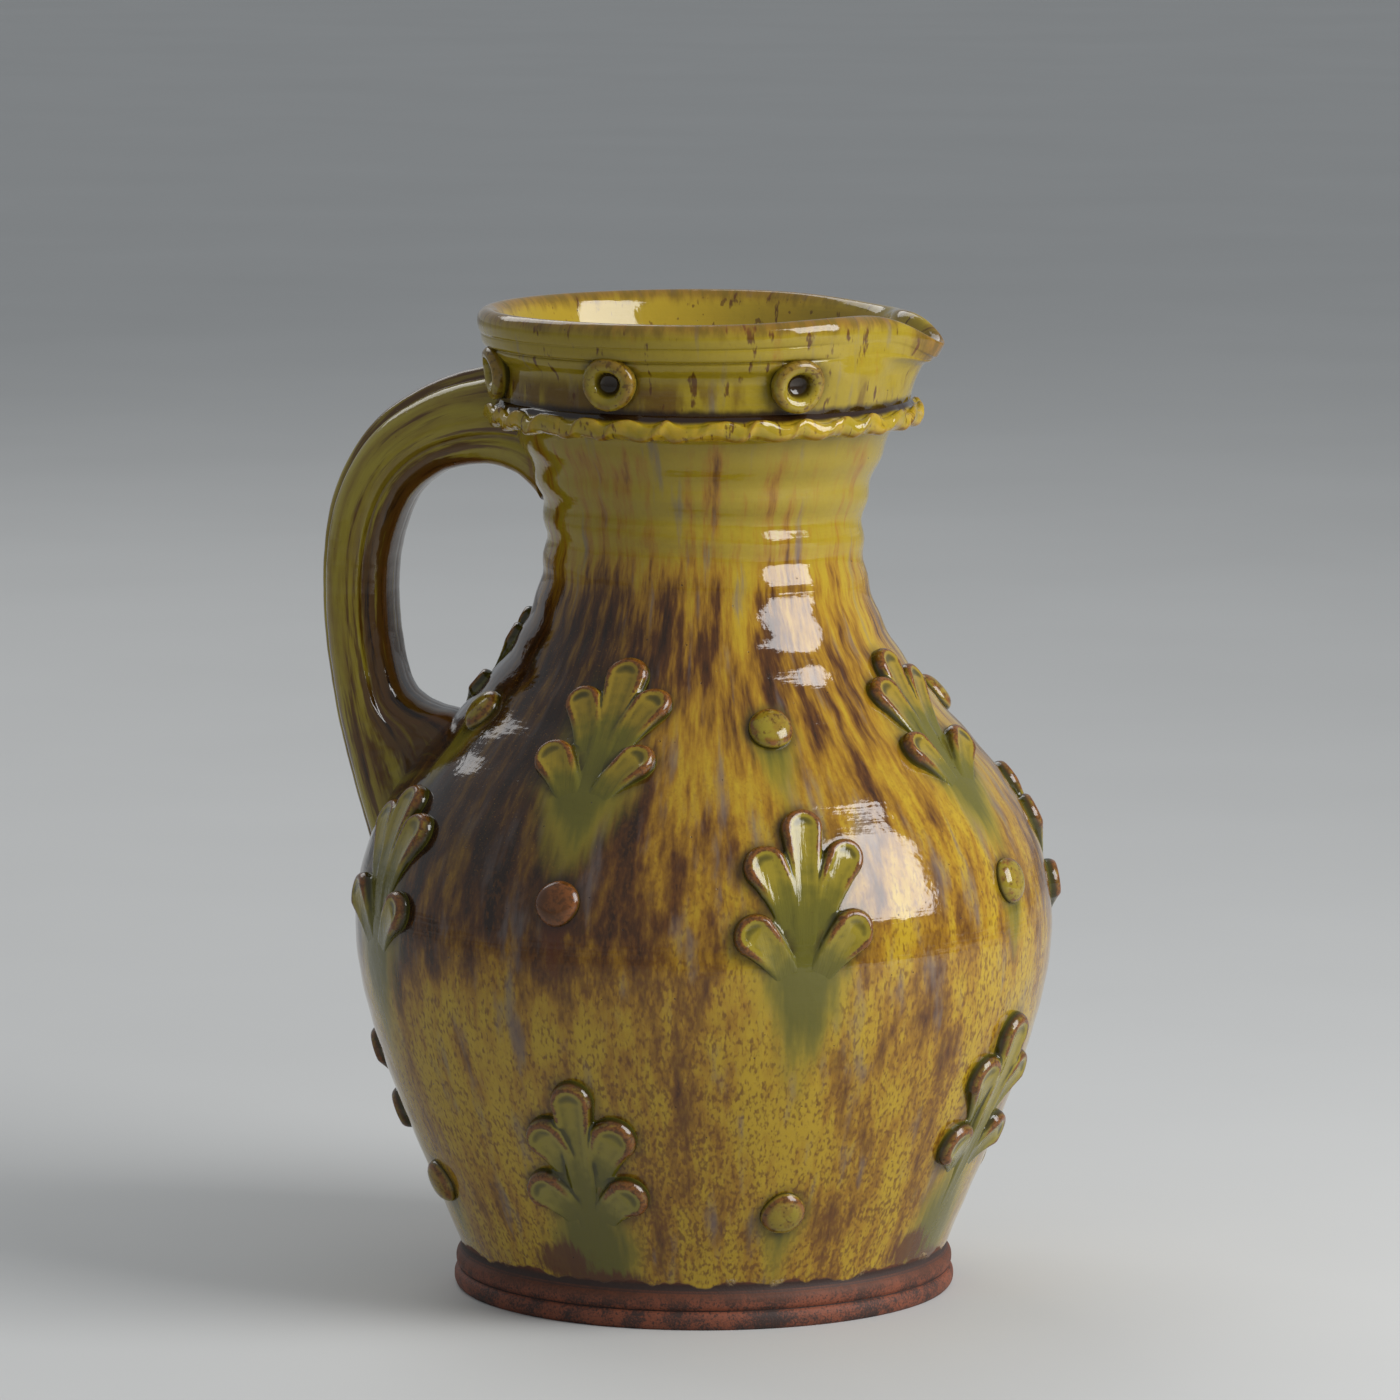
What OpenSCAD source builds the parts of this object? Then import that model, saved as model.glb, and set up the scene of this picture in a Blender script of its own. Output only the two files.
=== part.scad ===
// A hand-thrown pouring jug. The pot with its foot, collar, rim and pulled lip is one thrown piece, and a
// ribbed strap handle, a frilled cordon, ring bosses, leaf sprigs and pellets are luted to its wall.
// Z runs up from the middle of the foot, X points along the lip, and the handle stands on the other side.

/* [Jug] */
// Height of the jug to the rim's crest: the shoulder takes up what the other rises leave of it
jug_h = 300; // [280:1:330]

/* [Foot] */
// Largest radius of the foot's lower bead, that the jug stands on
foot_r = 76.7; // [70:0.1:84]
// Height of the foot up to where the wall starts
foot_h = 14.5; // [13:0.5:20]
// Height of each of the foot's two beads
foot_bead_h = 5.5; // [4.5:0.1:5.8]
// How far a bead swells between its two edges
foot_swell = 1.2; // [0.4:0.1:2.5]
// Step in from the lower bead to the upper one
foot_bead_step = 0.6; // [0.3:0.1:1.2]
// Step in from the lower bead to the start of the wall
foot_step = 1.5; // [0.8:0.1:3]
// Depth of the groove under the wall
foot_groove = 0.7; // [0.3:0.1:1.5]
// Thickness of the floor
floor_t = 7.5; // [5:0.5:11]
// Reach of the rounded corner between the floor and the wall, inside
floor_bend = 9; // [4:0.5:14]

/* [Wall] */
// Thickness of the thrown wall
wall = 5; // [4:0.25:6.5]
// Largest radius of the belly
belly_r = 106.5; // [98:0.5:115]
// Smallest radius of the neck
neck_r = 48.1; // [42:0.1:54]
// Flare of the neck up to the cordon
neck_flare = 9.4; // [6:0.1:13]
// Rise from the foot to the widest part of the belly
lower_rise = 97.5; // [88:0.5:108]
// Rise from the narrowest part of the neck to the cordon
neck_rise = 32; // [28:1:38]
// Reach of the curve that leaves the foot
foot_reach = 28; // [20:1:36]
// Reach of the belly's curve below its widest part
belly_reach_down = 30; // [22:1:38]
// Reach of the belly's curve above its widest part, as a share of the shoulder's rise
belly_reach_up_share = 0.475; // [0.4:0.005:0.53]
// Reach of the neck's curve down to the shoulder, as a share of the shoulder's rise
neck_reach_down_share = 0.442; // [0.37:0.002:0.5]
// Reach of the neck's curve up to the flare
neck_reach_up = 12; // [8:1:16]
// Reach of the flare down to the neck
flare_reach = 10; // [6:1:14]

/* [Collar and rim] */
// Step out from the top of the neck to the collar
collar_step = 4.7; // [3:0.1:6.5]
// Rise from the top of the neck to the underside of the rim
collar_rise = 19; // [17:0.5:23]
// Height of the rim's band
rim_rise = 17; // [14:0.5:21]
// Overhang of the rim past the collar
rim_flare = 6.4; // [4:0.1:8]
// Depth of the two lines turned in the rim's band
rim_line = 0.7; // [0.3:0.05:1]

/* [Lip] */
// How far the lip is pulled out past the rim
lip_reach = 8.1; // [5:0.1:11]
// How far the lip's edge dips below the rim
lip_drop = 9; // [5:0.5:11]
// How far the rim is pinched in on both sides of the lip
lip_pinch = 4; // [2:0.1:5.5]
// Half angle of the lip's swell
lip_turn = 12; // [10:0.5:13.5]
// Angle from the lip to its pinched shoulders
pinch_turn = 24; // [21:0.5:27]
// Half angle of the rim that the pull moves
lip_half_turn = 42; // [39:1:44]

/* [Handle] */
// Width of the handle
handle_w = 30; // [26:0.5:34]
// Thickness of the handle
handle_t = 23.5; // [20:0.5:27]
// Rise of the upper root's middle over the top of the neck
handle_root_rise = 3; // [0:0.5:5]
// Reach of the handle's centre line past the belly
handle_reach = 1.7; // [0:0.1:8]
// Drop from the upper root to the furthest part of the handle, as a share of the handle's rise
handle_drop_share = 0.396; // [0.34:0.002:0.45]
// Rise of the lower root's buried end over the belly's widest part
handle_foot_rise = 16; // [10:1:20]
// How deep the lower root's buried end lies behind the belly's widest part
handle_foot_bury = 16.5; // [12:0.5:20]
// Reach of the centre line straight out of the collar
handle_top_pull = 37; // [31:1:43]
// Reach of the handle's bend above its furthest part, as a share of the handle's rise
handle_bend_up_share = 0.317; // [0.26:0.001:0.36]
// Reach of the handle's bend below its furthest part, as a share of the handle's rise
handle_bend_down_share = 0.158; // [0.11:0.001:0.21]
// Outward reach of the centre line at the lower root
handle_foot_pull_out = 14; // [8:0.5:18]
// Upward reach of the centre line at the lower root, as a share of the handle's rise
handle_foot_pull_up_share = 0.288; // [0.23:0.001:0.33]

/* [Cordon] */
// How far the cordon's frilled edge stands out past the collar
frill_out = 4.1; // [3:0.1:5.5]
// Height of the cordon
frill_h = 10.3; // [8.5:0.1:12]
// How far the cordon's foot reaches down over the top of the neck
frill_foot = 1.5; // [0.5:0.1:3]
// Height of the frill's waves, from the middle
frill_wave = 0.9; // [0.4:0.05:1.4]
// Number of waves in the frill
frill_waves = 30; // [24:1:36]

/* [Ring bosses] */
// Radius of a ring boss
boss_r = 8.1; // [6.5:0.1:8.8]
// Height of a ring boss over the collar
boss_h = 4.6; // [3.6:0.1:5.4]
// Lean of a ring boss, so that its top clears the rim
boss_lean = 10; // [6:0.5:13]
// Radius of the hollow pressed into a boss, at its mouth
hollow_r = 4.4; // [3:0.1:5]
// Radius of the hollow at its bottom
hollow_end_r = 2.7; // [1.5:0.1:3]
// Depth of the hollow
hollow_depth = 3.4; // [2:0.1:3.8]
// Rounding of the boss's edges
boss_round = 1.2; // [0.6:0.1:1.5]

/* [Leaf sprigs] */
// Length of a sprig from its base to the middle of its top lobe
sprig_len = 43.6; // [38:0.1:48]
// Width of a lobe
lobe_w = 13.2; // [10:0.1:14]
// Width of a lobe where it leaves the stem
lobe_heel_w = 2.6; // [2:0.1:3.2]
// Height of a lobe's tip over the wall
lobe_h = 3.4; // [2.5:0.1:4.2]
// Height of a lobe where it leaves the stem
lobe_heel_h = 1.1; // [0.8:0.05:1.3]
// Width of the stem at its base
stem_w = 4.6; // [3.6:0.1:6]
// Height of the stem at its base
stem_h = 1; // [0.6:0.1:1.4]
// Rise of the top row's bases over the belly's widest part, as a share of the shoulder's rise
upper_sprig_share = 0.4; // [0.36:0.01:0.44]
// Clearance between the handle's lower root and the base of the sprig inside the handle
loop_sprig_clear = 2; // [1:0.5:6]
// Drop of the middle row's bases below the belly's widest part
middle_sprig_drop = 1.5; // [0:0.5:6]
// Rise of the bottom row's bases over the foot
lower_sprig_rise = 5.5; // [4:0.5:10]
// Extra stem of the bottom row
long_stem = 14; // [8:1:20]
// Extra stem of the tallest sprig of the bottom row
longest_stem = 25; // [16:1:30]

/* [Pellets] */
// Radius of a pellet where it meets the wall
pellet_r = 6.8; // [5.5:0.1:8]
// Height of a pellet over the wall
pellet_h = 3.7; // [2.8:0.1:4.5]
// Rise of the top row over the belly's widest part, as a share of the shoulder's rise
upper_pellet_share = 0.567; // [0.53:0.001:0.6]
// Rise of the middle row over the belly's widest part
middle_pellet_rise = 20; // [14:1:26]
// Rise of the pellet under the handle over the belly's widest part
handle_pellet_rise = 6; // [0:1:8]
// Rise of the bottom row over the foot
lower_pellet_rise = 22.5; // [18:0.5:30]

/* [Luting] */
// Thickness of the slip that a luted piece sits on
lute = 0.12; // [0.08:0.01:0.2]

/* [Hidden] */
// Slopes of the wall, outwards over upwards, where it leaves the foot and where the neck ends
foot_slope_share = 0.4;
flare_slope_share = 0.4;
// Height behind the cordon at which the collar reaches its radius, and the lip's swell starts
collar_seat_share = 0.8;
// Columns of ornament round the jug, the first one's angle from the lip, and their drift by hand
columns = 8;
first_column = -15.5;
column_drift = [0, -0.5, 4, 5, 13, 3.5, -1.5, -5];
// Ring bosses and the lip divide the collar evenly
collar_places = 7;
// Sideways lean of a sprig for its height
sprig_lean_share = 0.06;
// Size of the sprig inside the handle beside the others
loop_sprig_share = 0.76;
// Overlap of the collar on both faces of the neck's top
collar_lap = 0.6;
$fn = 96;
pot_fn = 240;

lower_steps = 10;
shoulder_steps = 16;
neck_steps = 6;
lip_steps = 28;
rim_steps = 46;
handle_steps = 44;
loop_steps = 240;
frill_steps = 3;
arc_steps = 4;

// Rise from the belly over the shoulder to the narrowest part of the neck
shoulder_rise = jug_h - foot_h - lower_rise - neck_rise - collar_rise - rim_rise;
belly_z = foot_h + lower_rise;
neck_z = belly_z + shoulder_rise;
flare_z = neck_z + neck_rise;
rim_z = flare_z + collar_rise;
frill_z = flare_z - frill_foot;
frill_top_z = frill_z + frill_h;
lip_root_z = mix(flare_z, frill_top_z, collar_seat_share);
lip_root = rim_z - lip_root_z;
waist_r = foot_r - foot_step;
flare_r = neck_r + neck_flare;
collar_r = flare_r + collar_step;
boss_z = frill_top_z + 2 * lute + boss_r / cos(boss_lean);

// Height of the groove between the upper bead and the wall
foot_groove_share = 0.4;
// Outer line between the neck and the collar: share of the step, share of the rise
collar_foot_shares = [[0.85, 0.75]];
// Half section of collar and rim, from the outside over the crest to the inside: overhang, wall, rise below
// the rim over the lip's root, rise over the rim's band, lines, and how far the lip's reach, drop and pinch
// move that point
rim_shares = [
    [0, 0, -1, 0, 0, 0, 0, 0],
    [0, 0, -0.45, 0, 0, 0.2, 0, 0.05],
    [0, 0, 0, 0, 0, 0.32, 0.22, 0.25],
    [0.36, 0, 0, 0.17, 0, 0.32, 0.22, 0.4],
    [0.52, 0, 0, 0.28, 0, 0.38, 0.32, 0.5],
    [0.58, 0, 0, 0.33, 1, 0.4, 0.36, 0.55],
    [0.74, 0, 0, 0.37, 0, 0.42, 0.42, 0.6],
    [0.84, 0, 0, 0.53, 0, 0.46, 0.64, 0.7],
    [0.88, 0, 0, 0.57, 1, 0.48, 0.7, 0.74],
    [0.92, 0, 0, 0.61, 0, 0.49, 0.76, 0.78],
    [1, 0, 0, 0.74, 0, 0.52, 0.86, 0.88],
    [0.97, 0, 0, 0.87, 0, 0.64, 0.96, 0.95],
    [0.8, 0, 0, 0.96, 0, 0.84, 1, 1],
    [0.53, 0, 0, 1, 0, 1, 1, 1],
    [0.2, 0, 0, 0.96, 0, 1.07, 0.95, 1],
    [0, 0.14, 0, 0.8, 0, 0.97, 0.9, 0.95],
    [0, 0.5, 0, 0.42, 0, 0.66, 0.68, 0.7],
    [0, 0.86, 0, 0.08, 0, 0.42, 0.36, 0.4],
    [0, 1, -0.45, 0, 0, 0.14, 0.1, 0.1],
    [0, 1, -1, 0, 0, 0, 0, 0]
];
rim_outer_rows = 14;
// How much the pinched shoulders rise for their depth
pinch_rise_share = 0.25;

// Lobes of a sprig, in shares of its length: side, then across and up to the heel, the knee and the tip
lobe_shares = [
    [-1, 0.038, 0.36, 0.12, 0.58, 0.28, 0.8],
    [1, 0.038, 0.36, 0.12, 0.58, 0.28, 0.8],
    [-1, 0.034, 0.03, 0.13, 0.16, 0.335, 0.275],
    [1, 0.034, 0.03, 0.13, 0.16, 0.335, 0.275]
];
// Edge of a lobe, from the heel round to the tip: place along the spine and turn from the tip's direction
lobe_edge_shares = [[0, 150], [0, 100], [0.35, 92], [0.7, 92], [1, 80], [1, 48], [1, 16]];
stem_edge_shares = [
    [0, 150], [0, 100], [0.14, 91], [0.28, 91], [0.42, 91], [0.56, 91], [0.7, 91], [0.85, 91],
    [1, 80], [1, 48], [1, 16]
];
// Steep side and dished face of a lobe: inset from the edge, and height
lobe_ring_shares = [[0, 0], [0.02, 0.7], [0.16, 1], [0.55, 0.84]];
// How late along a lobe its rise comes
lobe_bend = 1.3;
// Lift of a lobe's heel over the wall, inside the stem
heel_lift_share = 0.35;

// Half section of the handle, from the middle of its outside to the middle of its inside: across, and out
handle_shares = [
    [0.07, 1], [0.18, 0.95], [0.28, 0.76], [0.42, 0.78], [0.66, 0.72], [0.88, 0.48],
    [1, 0.08], [0.97, -0.22], [0.86, -0.36], [0.84, -0.6], [0.6, -0.92], [0.2, -1]
];
// Swell of the handle towards its roots, for places along it
handle_width_shares = [[0, 1.08], [0.2, 1], [0.75, 1], [1, 1.08]];
handle_outer_shares = [[0, 1.3], [0.1, 1.26], [0.2, 1.16], [0.35, 1.04], [0.5, 1], [0.8, 1], [1, 1.1]];
handle_inner_shares = [
    [0, 2.75], [0.035, 1.8], [0.07, 1.42], [0.11, 1.24], [0.2, 1.1], [0.35, 1],
    [0.7, 1], [0.735, 1.08], [0.76, 1.28], [0.785, 1.7], [0.81, 2.3], [0.86, 2.8], [1, 2.8]
];
// The upper root's buried end lies this share of the wall behind the collar, and so behind the neck's face
handle_bury_share = 3.04;

// Section of the cordon, from its upper seam round its frilled edge: out past the collar, height, wave
frill_shares = [
    [0, 1, 0], [0.35, 0.78, 0.2], [0.8, 0.68, 0.8], [1, 0.56, 1], [0.9, 0.36, 0.9], [0.45, 0.14, 0.4]
];
// How far the frill moves out for its rise
frill_out_share = 0.7;

// Curves
function mix(a, b, t) = a + (b - a) * t;
function unit(v) = v / norm(v);
function reverse(list) = [for (i = [len(list) - 1:-1:0]) list[i]];
function bezier(p, t) =
    let (s = 1 - t)
    s * s * s * p[0] + 3 * s * s * t * p[1] + 3 * s * t * t * p[2] + t * t * t * p[3];
function bezier_heading(p, t) =
    let (s = 1 - t)
    unit(s * s * (p[1] - p[0]) + 2 * s * t * (p[2] - p[1]) + t * t * (p[3] - p[2]));
function bump(angle, half_turn) = exp(-pow(angle / half_turn, 2));

// The wall's outer line from the foot to the cordon
lower_curve = [
    [waist_r, foot_h],
    [waist_r + foot_slope_share * foot_reach, foot_h + foot_reach],
    [belly_r, belly_z - belly_reach_down],
    [belly_r, belly_z]
];
shoulder_curve = [
    [belly_r, belly_z],
    [belly_r, belly_z + belly_reach_up_share * shoulder_rise],
    [neck_r, neck_z - neck_reach_down_share * shoulder_rise],
    [neck_r, neck_z]
];
neck_curve = [
    [neck_r, neck_z],
    [neck_r, neck_z + neck_reach_up],
    [flare_r - flare_slope_share * flare_reach, flare_z - flare_reach],
    [flare_r, flare_z]
];
function inside(p, t) =
    let (d = bezier_heading(p, t))
    bezier(p, t) - wall * [d[1], -d[0]];
wall_line = concat(
    [for (i = [0:lower_steps]) bezier(lower_curve, i / lower_steps)],
    [for (i = [1:shoulder_steps]) bezier(shoulder_curve, i / shoulder_steps)],
    [for (i = [1:neck_steps]) bezier(neck_curve, i / neck_steps)]
);
inner_line = concat(
    [for (i = [0:lower_steps]) inside(lower_curve, i / lower_steps)],
    [for (i = [1:shoulder_steps]) inside(shoulder_curve, i / shoulder_steps)],
    [for (i = [1:neck_steps]) inside(neck_curve, i / neck_steps)]
);
floor_start = inner_line[0];
floor_curve = [
    [floor_start[0] - 2 * floor_bend, floor_t],
    [floor_start[0] - floor_bend, floor_t],
    floor_start - floor_bend / 2 * bezier_heading(lower_curve, 0),
    floor_start
];
floor_line = [for (i = [0:arc_steps - 1]) bezier(floor_curve, i / arc_steps)];
foot_line = concat(
    [for (k = [0, 1], i = [0:2 * arc_steps])
        let (t = i / arc_steps - 1)
        [foot_r - k * foot_bead_step - foot_swell * t * t, foot_bead_h * (k + (t + 1) / 2)]],
    [[waist_r - foot_groove, mix(2 * foot_bead_h, foot_h, foot_groove_share)]]
);

// Places on the wall by the length of its line from the foot
function line_lengths(p) =
    [for (i = 0, s = 0; i < len(p); s = s + norm(p[min(i + 1, len(p) - 1)] - p[i]), i = i + 1) s];
wall_lengths = line_lengths(wall_line);
length_of_height = [for (i = [0:len(wall_line) - 1]) [wall_line[i][1], wall_lengths[i]]];
radius_of_length = [for (i = [0:len(wall_line) - 1]) [wall_lengths[i], wall_line[i][0]]];
height_of_length = [for (i = [0:len(wall_line) - 1]) [wall_lengths[i], wall_line[i][1]]];
function wall_at(s) = [lookup(s, radius_of_length), lookup(s, height_of_length)];
function wall_facing(s) =
    let (d = unit(wall_at(s + wall) - wall_at(s - wall)))
    [d[1], -d[0]];
function on_wall(angle, s, across, proud) =
    let (p = wall_at(s), n = wall_facing(s), a = angle + across / p[0] * 180 / PI, q = p + proud * n)
    [q[0] * cos(a), q[0] * sin(a), q[1]];
function column_angle(i) = first_column - 360 / columns * i + column_drift[i];

// How much of the pull is left at an angle from the lip: it dies away at the edge of the part that it moves
function lip_calm(angle) =
    let (t = (lip_half_turn - abs(angle)) / lip_turn)
    t <= 0 ? 0 : t >= 1 ? 1 : t * t * (3 - 2 * t);
// Collar and rim at an angle from the lip
function rim_point(row, angle) =
    let (
        calm = lip_calm(angle),
        pull = calm * bump(angle, lip_turn),
        pinch = calm * bump(abs(angle) - pinch_turn, lip_turn) * row[7] * lip_pinch,
        run = collar_r + row[0] * rim_flare - row[1] * wall - row[4] * rim_line,
        rise = rim_z + row[2] * lip_root + row[3] * rim_rise
    )
    [
        run + pull * row[5] * lip_reach - pinch,
        rise - pull * row[6] * lip_drop + pinch * pinch_rise_share
    ];
function rim_line_at(angle) = [for (row = rim_shares) rim_point(row, angle)];
// The collar's root runs to a point inside the neck's wall, so that it laps over the neck's top
neck_end = len(wall_line) - 1;
collar_tip = (wall_line[neck_end - 2] + inner_line[neck_end - 2]) / 2;
collar_foot = concat(
    [wall_line[neck_end] + [collar_lap, 0]],
    [for (s = collar_foot_shares) [flare_r + s[0] * collar_step, mix(flare_z, lip_root_z, s[1])]]
);
function collar_line_at(angle) = concat(
    [collar_tip],
    collar_foot,
    rim_line_at(angle),
    [inner_line[neck_end] - [collar_lap, 0]]
);
// Angles round the rim, closer together at the lip
lip_angles = [for (i = [0:lip_steps])
    let (t = 2 * i / lip_steps - 1)
    lip_half_turn * t * (1 + t * t) / 2];
rim_angles = [for (i = [1:rim_steps - 1]) mix(lip_half_turn, 360 - lip_half_turn, i / rim_steps)];
outer_line = concat(
    [for (i = [0:neck_end - 1]) wall_line[i]],
    collar_foot,
    [for (i = [0:rim_outer_rows - 1]) rim_line_at(180)[i]]
);

// The filled outside of the pot, with the slip on it, that luted pieces are cut to
module filled_pot() {
    rotate_extrude($fn = pot_fn)
        polygon(concat(
            [[0, foot_h]],
            [for (p = outer_line) [p[0] + lute, p[1]]],
            [[0, jug_h]]
        ));
}

module stand_on_wall(angle, s) {
    n = wall_facing(s);
    translate(on_wall(angle, s, 0, 0))
        rotate([0, atan2(n[0], n[1]), angle])
            children();
}

// Faces that fill a ring of n points from its first point on, in strips between its two halves
function fill_faces(n, first) = [for (i = [0:n / 2 - 2], half = [0, 1])
    half == 0
        ? [first + i, first + i + 1, first + n - 2 - i]
        : [first + i, first + n - 2 - i, first + n - 1 - i]];
function flip_faces(faces) = [for (f = faces) reverse(f)];

function side_faces(n, from, to) = [for (i = [0:n - 1], half = [0, 1])
    let (j = (i + 1) % n)
    half == 0 ? [from + i, to + j, from + j] : [from + i, to + i, to + j]];

// Closed skin through rings of points, whose two halves run out and back
module skin(rings) {
    n = len(rings[0]);
    last = len(rings) - 1;
    polyhedron(
        points = [for (ring = rings, p = ring) p],
        faces = concat(
            [for (k = [0:last - 1], f = side_faces(n, k * n, (k + 1) * n)) f],
            fill_faces(n, 0),
            flip_faces(fill_faces(n, last * n))
        )
    );
}

// Skin through rings of points that come round to the first one again
module round_skin(rings) {
    n = len(rings[0]);
    count = len(rings);
    polyhedron(
        points = [for (ring = rings, p = ring) p],
        faces = [for (k = [0:count - 1], f = side_faces(n, k * n, (k + 1) % count * n)) f]
    );
}

// Thrown pot

module collar_and_lip() {
    round_skin([for (a = concat(lip_angles, rim_angles))
        [for (p = reverse(collar_line_at(a))) [p[0] * cos(a), p[0] * sin(a), p[1]]]]);
}

module jug_body() {
    color("goldenrod") {
        rotate_extrude($fn = pot_fn)
            polygon(concat(
                [[0, 0]],
                foot_line,
                wall_line,
                reverse(inner_line),
                reverse(floor_line),
                [[0, floor_t]]
            ));
        collar_and_lip();
    }
}

// Pulled handle

handle_root_x = -(collar_r - handle_bury_share * wall);
handle_root_z = flare_z + handle_root_rise;
handle_foot_z = belly_z + handle_foot_rise;
handle_rise = handle_root_z - handle_foot_z;
handle_far_x = -(belly_r + handle_reach);
handle_far_z = handle_root_z - handle_drop_share * handle_rise;
handle_foot_x = -(belly_r - handle_foot_bury);
handle_over = [
    [handle_root_x, handle_root_z],
    [handle_root_x - handle_top_pull, handle_root_z],
    [handle_far_x, handle_far_z + handle_bend_up_share * handle_rise],
    [handle_far_x, handle_far_z]
];
handle_down = [
    [handle_far_x, handle_far_z],
    [handle_far_x, handle_far_z - handle_bend_down_share * handle_rise],
    [handle_foot_x - handle_foot_pull_out, handle_foot_z + handle_foot_pull_up_share * handle_rise],
    [handle_foot_x, handle_foot_z]
];
function handle_middle(t) = t < 0.5 ? bezier(handle_over, 2 * t) : bezier(handle_down, 2 * t - 1);
function handle_heading(t) =
    t < 0.5 ? bezier_heading(handle_over, 2 * t) : bezier_heading(handle_down, 2 * t - 1);
function handle_point(t, share, side) =
    let (
        p = handle_middle(t),
        d = handle_heading(t),
        swell = lookup(t, share[1] > 0 ? handle_outer_shares : handle_inner_shares),
        out = share[1] * swell * handle_t / 2,
        across = side * share[0] * lookup(t, handle_width_shares) * handle_w / 2
    )
    [p[0] + out * d[1], across, p[1] - out * d[0]];
function handle_ring(t) =
    concat(
        [for (share = handle_shares) handle_point(t, share, 1)],
        [for (share = reverse(handle_shares)) handle_point(t, share, -1)]
    );

// Heights of the handle's inside in its opening, from where it leaves the wall at the lower root
radius_of_height = [for (p = wall_line) [p[1], p[0]]];
loop_heights = [for (i = [0:loop_steps])
    let (p = handle_point(i / loop_steps, [0, -1], 1))
    if (-p[0] > lookup(p[2], radius_of_height)) p[2]];
loop_low_z = min(loop_heights);

module handle() {
    color("darkgoldenrod")
        difference() {
            skin([for (i = [0:handle_steps]) handle_ring(i / handle_steps)]);
            filled_pot();
        }
}

// Frilled cordon, pressed on round the collar's foot, from one side of the handle to the other

frill_end_y = handle_w / 2 * handle_width_shares[0][1] + lute;
frill_seat = concat(
    [wall_at(lookup(frill_z, length_of_height))],
    collar_foot,
    [[collar_r, lip_root_z]]
);
function frill_edge(wave) = [for (s = frill_shares)
    [
        collar_r + lute + s[0] * frill_out + wave * s[2] * frill_wave * frill_out_share,
        frill_z + s[1] * frill_h + wave * s[2] * frill_wave
    ]];
function frill_ring(t, wave) =
    [for (p = concat(frill_edge(wave), [for (q = frill_seat) [q[0] + lute, q[1]]]))
        let (a = t * (180 - asin(frill_end_y / p[0])))
        [p[0] * cos(a), p[0] * sin(a), p[1]]];

module frill_band() {
    n = frill_waves * frill_steps;
    color("darkkhaki")
        skin([for (i = [0:n]) frill_ring(2 * i / n - 1, sin(360 * i / frill_steps))]);
}

// Ring bosses

function arc(middle, r, from, to) = [for (i = [0:arc_steps])
    let (a = mix(from, to, i / arc_steps))
    middle + r * [cos(a), sin(a)]];

module ring_boss(i) {
    edge = boss_h - boss_round;
    color("olive")
        difference() {
            rotate([0, 0, 360 / collar_places * i])
                translate([collar_r, 0, boss_z])
                    rotate([0, 90 + boss_lean, 0])
                        rotate_extrude()
                            polygon(concat(
                                [[0, -wall], [boss_r, -wall]],
                                arc([boss_r - boss_round, edge], boss_round, 0, 90),
                                arc([hollow_r + boss_round, edge], boss_round, 90, 150),
                                [[hollow_end_r, boss_h - hollow_depth], [0, boss_h - hollow_depth]]
                            ));
            filled_pot();
        }
}

// Leaf sprigs

// Point of a lobe's spine, and its heading, in the flat sprig
function spine(lobe, t) =
    let (s = 1 - t)
    s * s * lobe[0] + 2 * s * t * lobe[1] + t * t * lobe[2];
function spine_heading(lobe, t) = unit(mix(lobe[1] - lobe[0], lobe[2] - lobe[1], t));
function lobe_edge(lobe, edge, side, inset) =
    let (
        t = edge[0],
        d = spine_heading(lobe, t),
        half = mix(lobe[3], lobe[4], t) / 2 * (1 - inset)
    )
    spine(lobe, t) + half * (cos(edge[1]) * d + side * sin(edge[1]) * [d[1], -d[0]]);
// One ring of a lobe on the wall: up its one side, round the tip and down the other
function lobe_ring(lobe, edges, ring, angle, base_s) = [for (side = [-1, 1],
    i = side < 0 ? [0:len(edges) - 1] : [len(edges) - 1:-1:0])
    let (
        e = edges[i],
        p = lobe_edge(lobe, e, side, ring[0]),
        height = mix(lobe[5], lobe[6], pow(e[0], lobe_bend)),
        proud = height * mix(ring[1], 1, lobe[7] * (1 - e[0]) * (1 - ring[1]))
    )
    on_wall(angle, base_s + p[1], p[0] + sprig_lean_share * p[1], lute + proud)];

module lobe(lobe, edges, angle, base_s) {
    skin([for (ring = lobe_ring_shares) reverse(lobe_ring(lobe, edges, ring, angle, base_s))]);
}

module leaf_sprig(angle, base_z, stem, size_share) {
    base_s = lookup(base_z, length_of_height);
    size = sprig_len * size_share;
    tip_w = lobe_w * size_share;
    color("olivedrab") {
        lobe(
            [[0, 0], [0, (stem + size) / 2], [0, stem + size], stem_w, tip_w, stem_h, lobe_h, 0],
            stem_edge_shares, angle, base_s
        );
        for (s = lobe_shares)
            lobe(
                [
                    [s[0] * s[1], s[2]] * size + [0, stem],
                    [s[0] * s[3], s[4]] * size + [0, stem],
                    [s[0] * s[5], s[6]] * size + [0, stem],
                    lobe_heel_w * size_share, tip_w, lobe_heel_h, lobe_h, heel_lift_share
                ],
                lobe_edge_shares, angle, base_s
            );
    }
}

module leaf_sprig_upper(i) {
    in_loop = i == columns / 4;
    leaf_sprig(
        column_angle(2 * i),
        in_loop ? loop_low_z + loop_sprig_clear : belly_z + upper_sprig_share * shoulder_rise,
        0,
        in_loop ? loop_sprig_share : 1
    );
}

module leaf_sprig_middle(i) {
    leaf_sprig(column_angle(2 * i + 1), belly_z - middle_sprig_drop, 0, 1);
}

module leaf_sprig_lower(i) {
    leaf_sprig(column_angle(2 * i), foot_h + lower_sprig_rise, i % 2 == 0 ? longest_stem : long_stem, 1);
}

// Pellets

pellet_ball_r = (pellet_r * pellet_r + pellet_h * pellet_h) / 2 / pellet_h;

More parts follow.
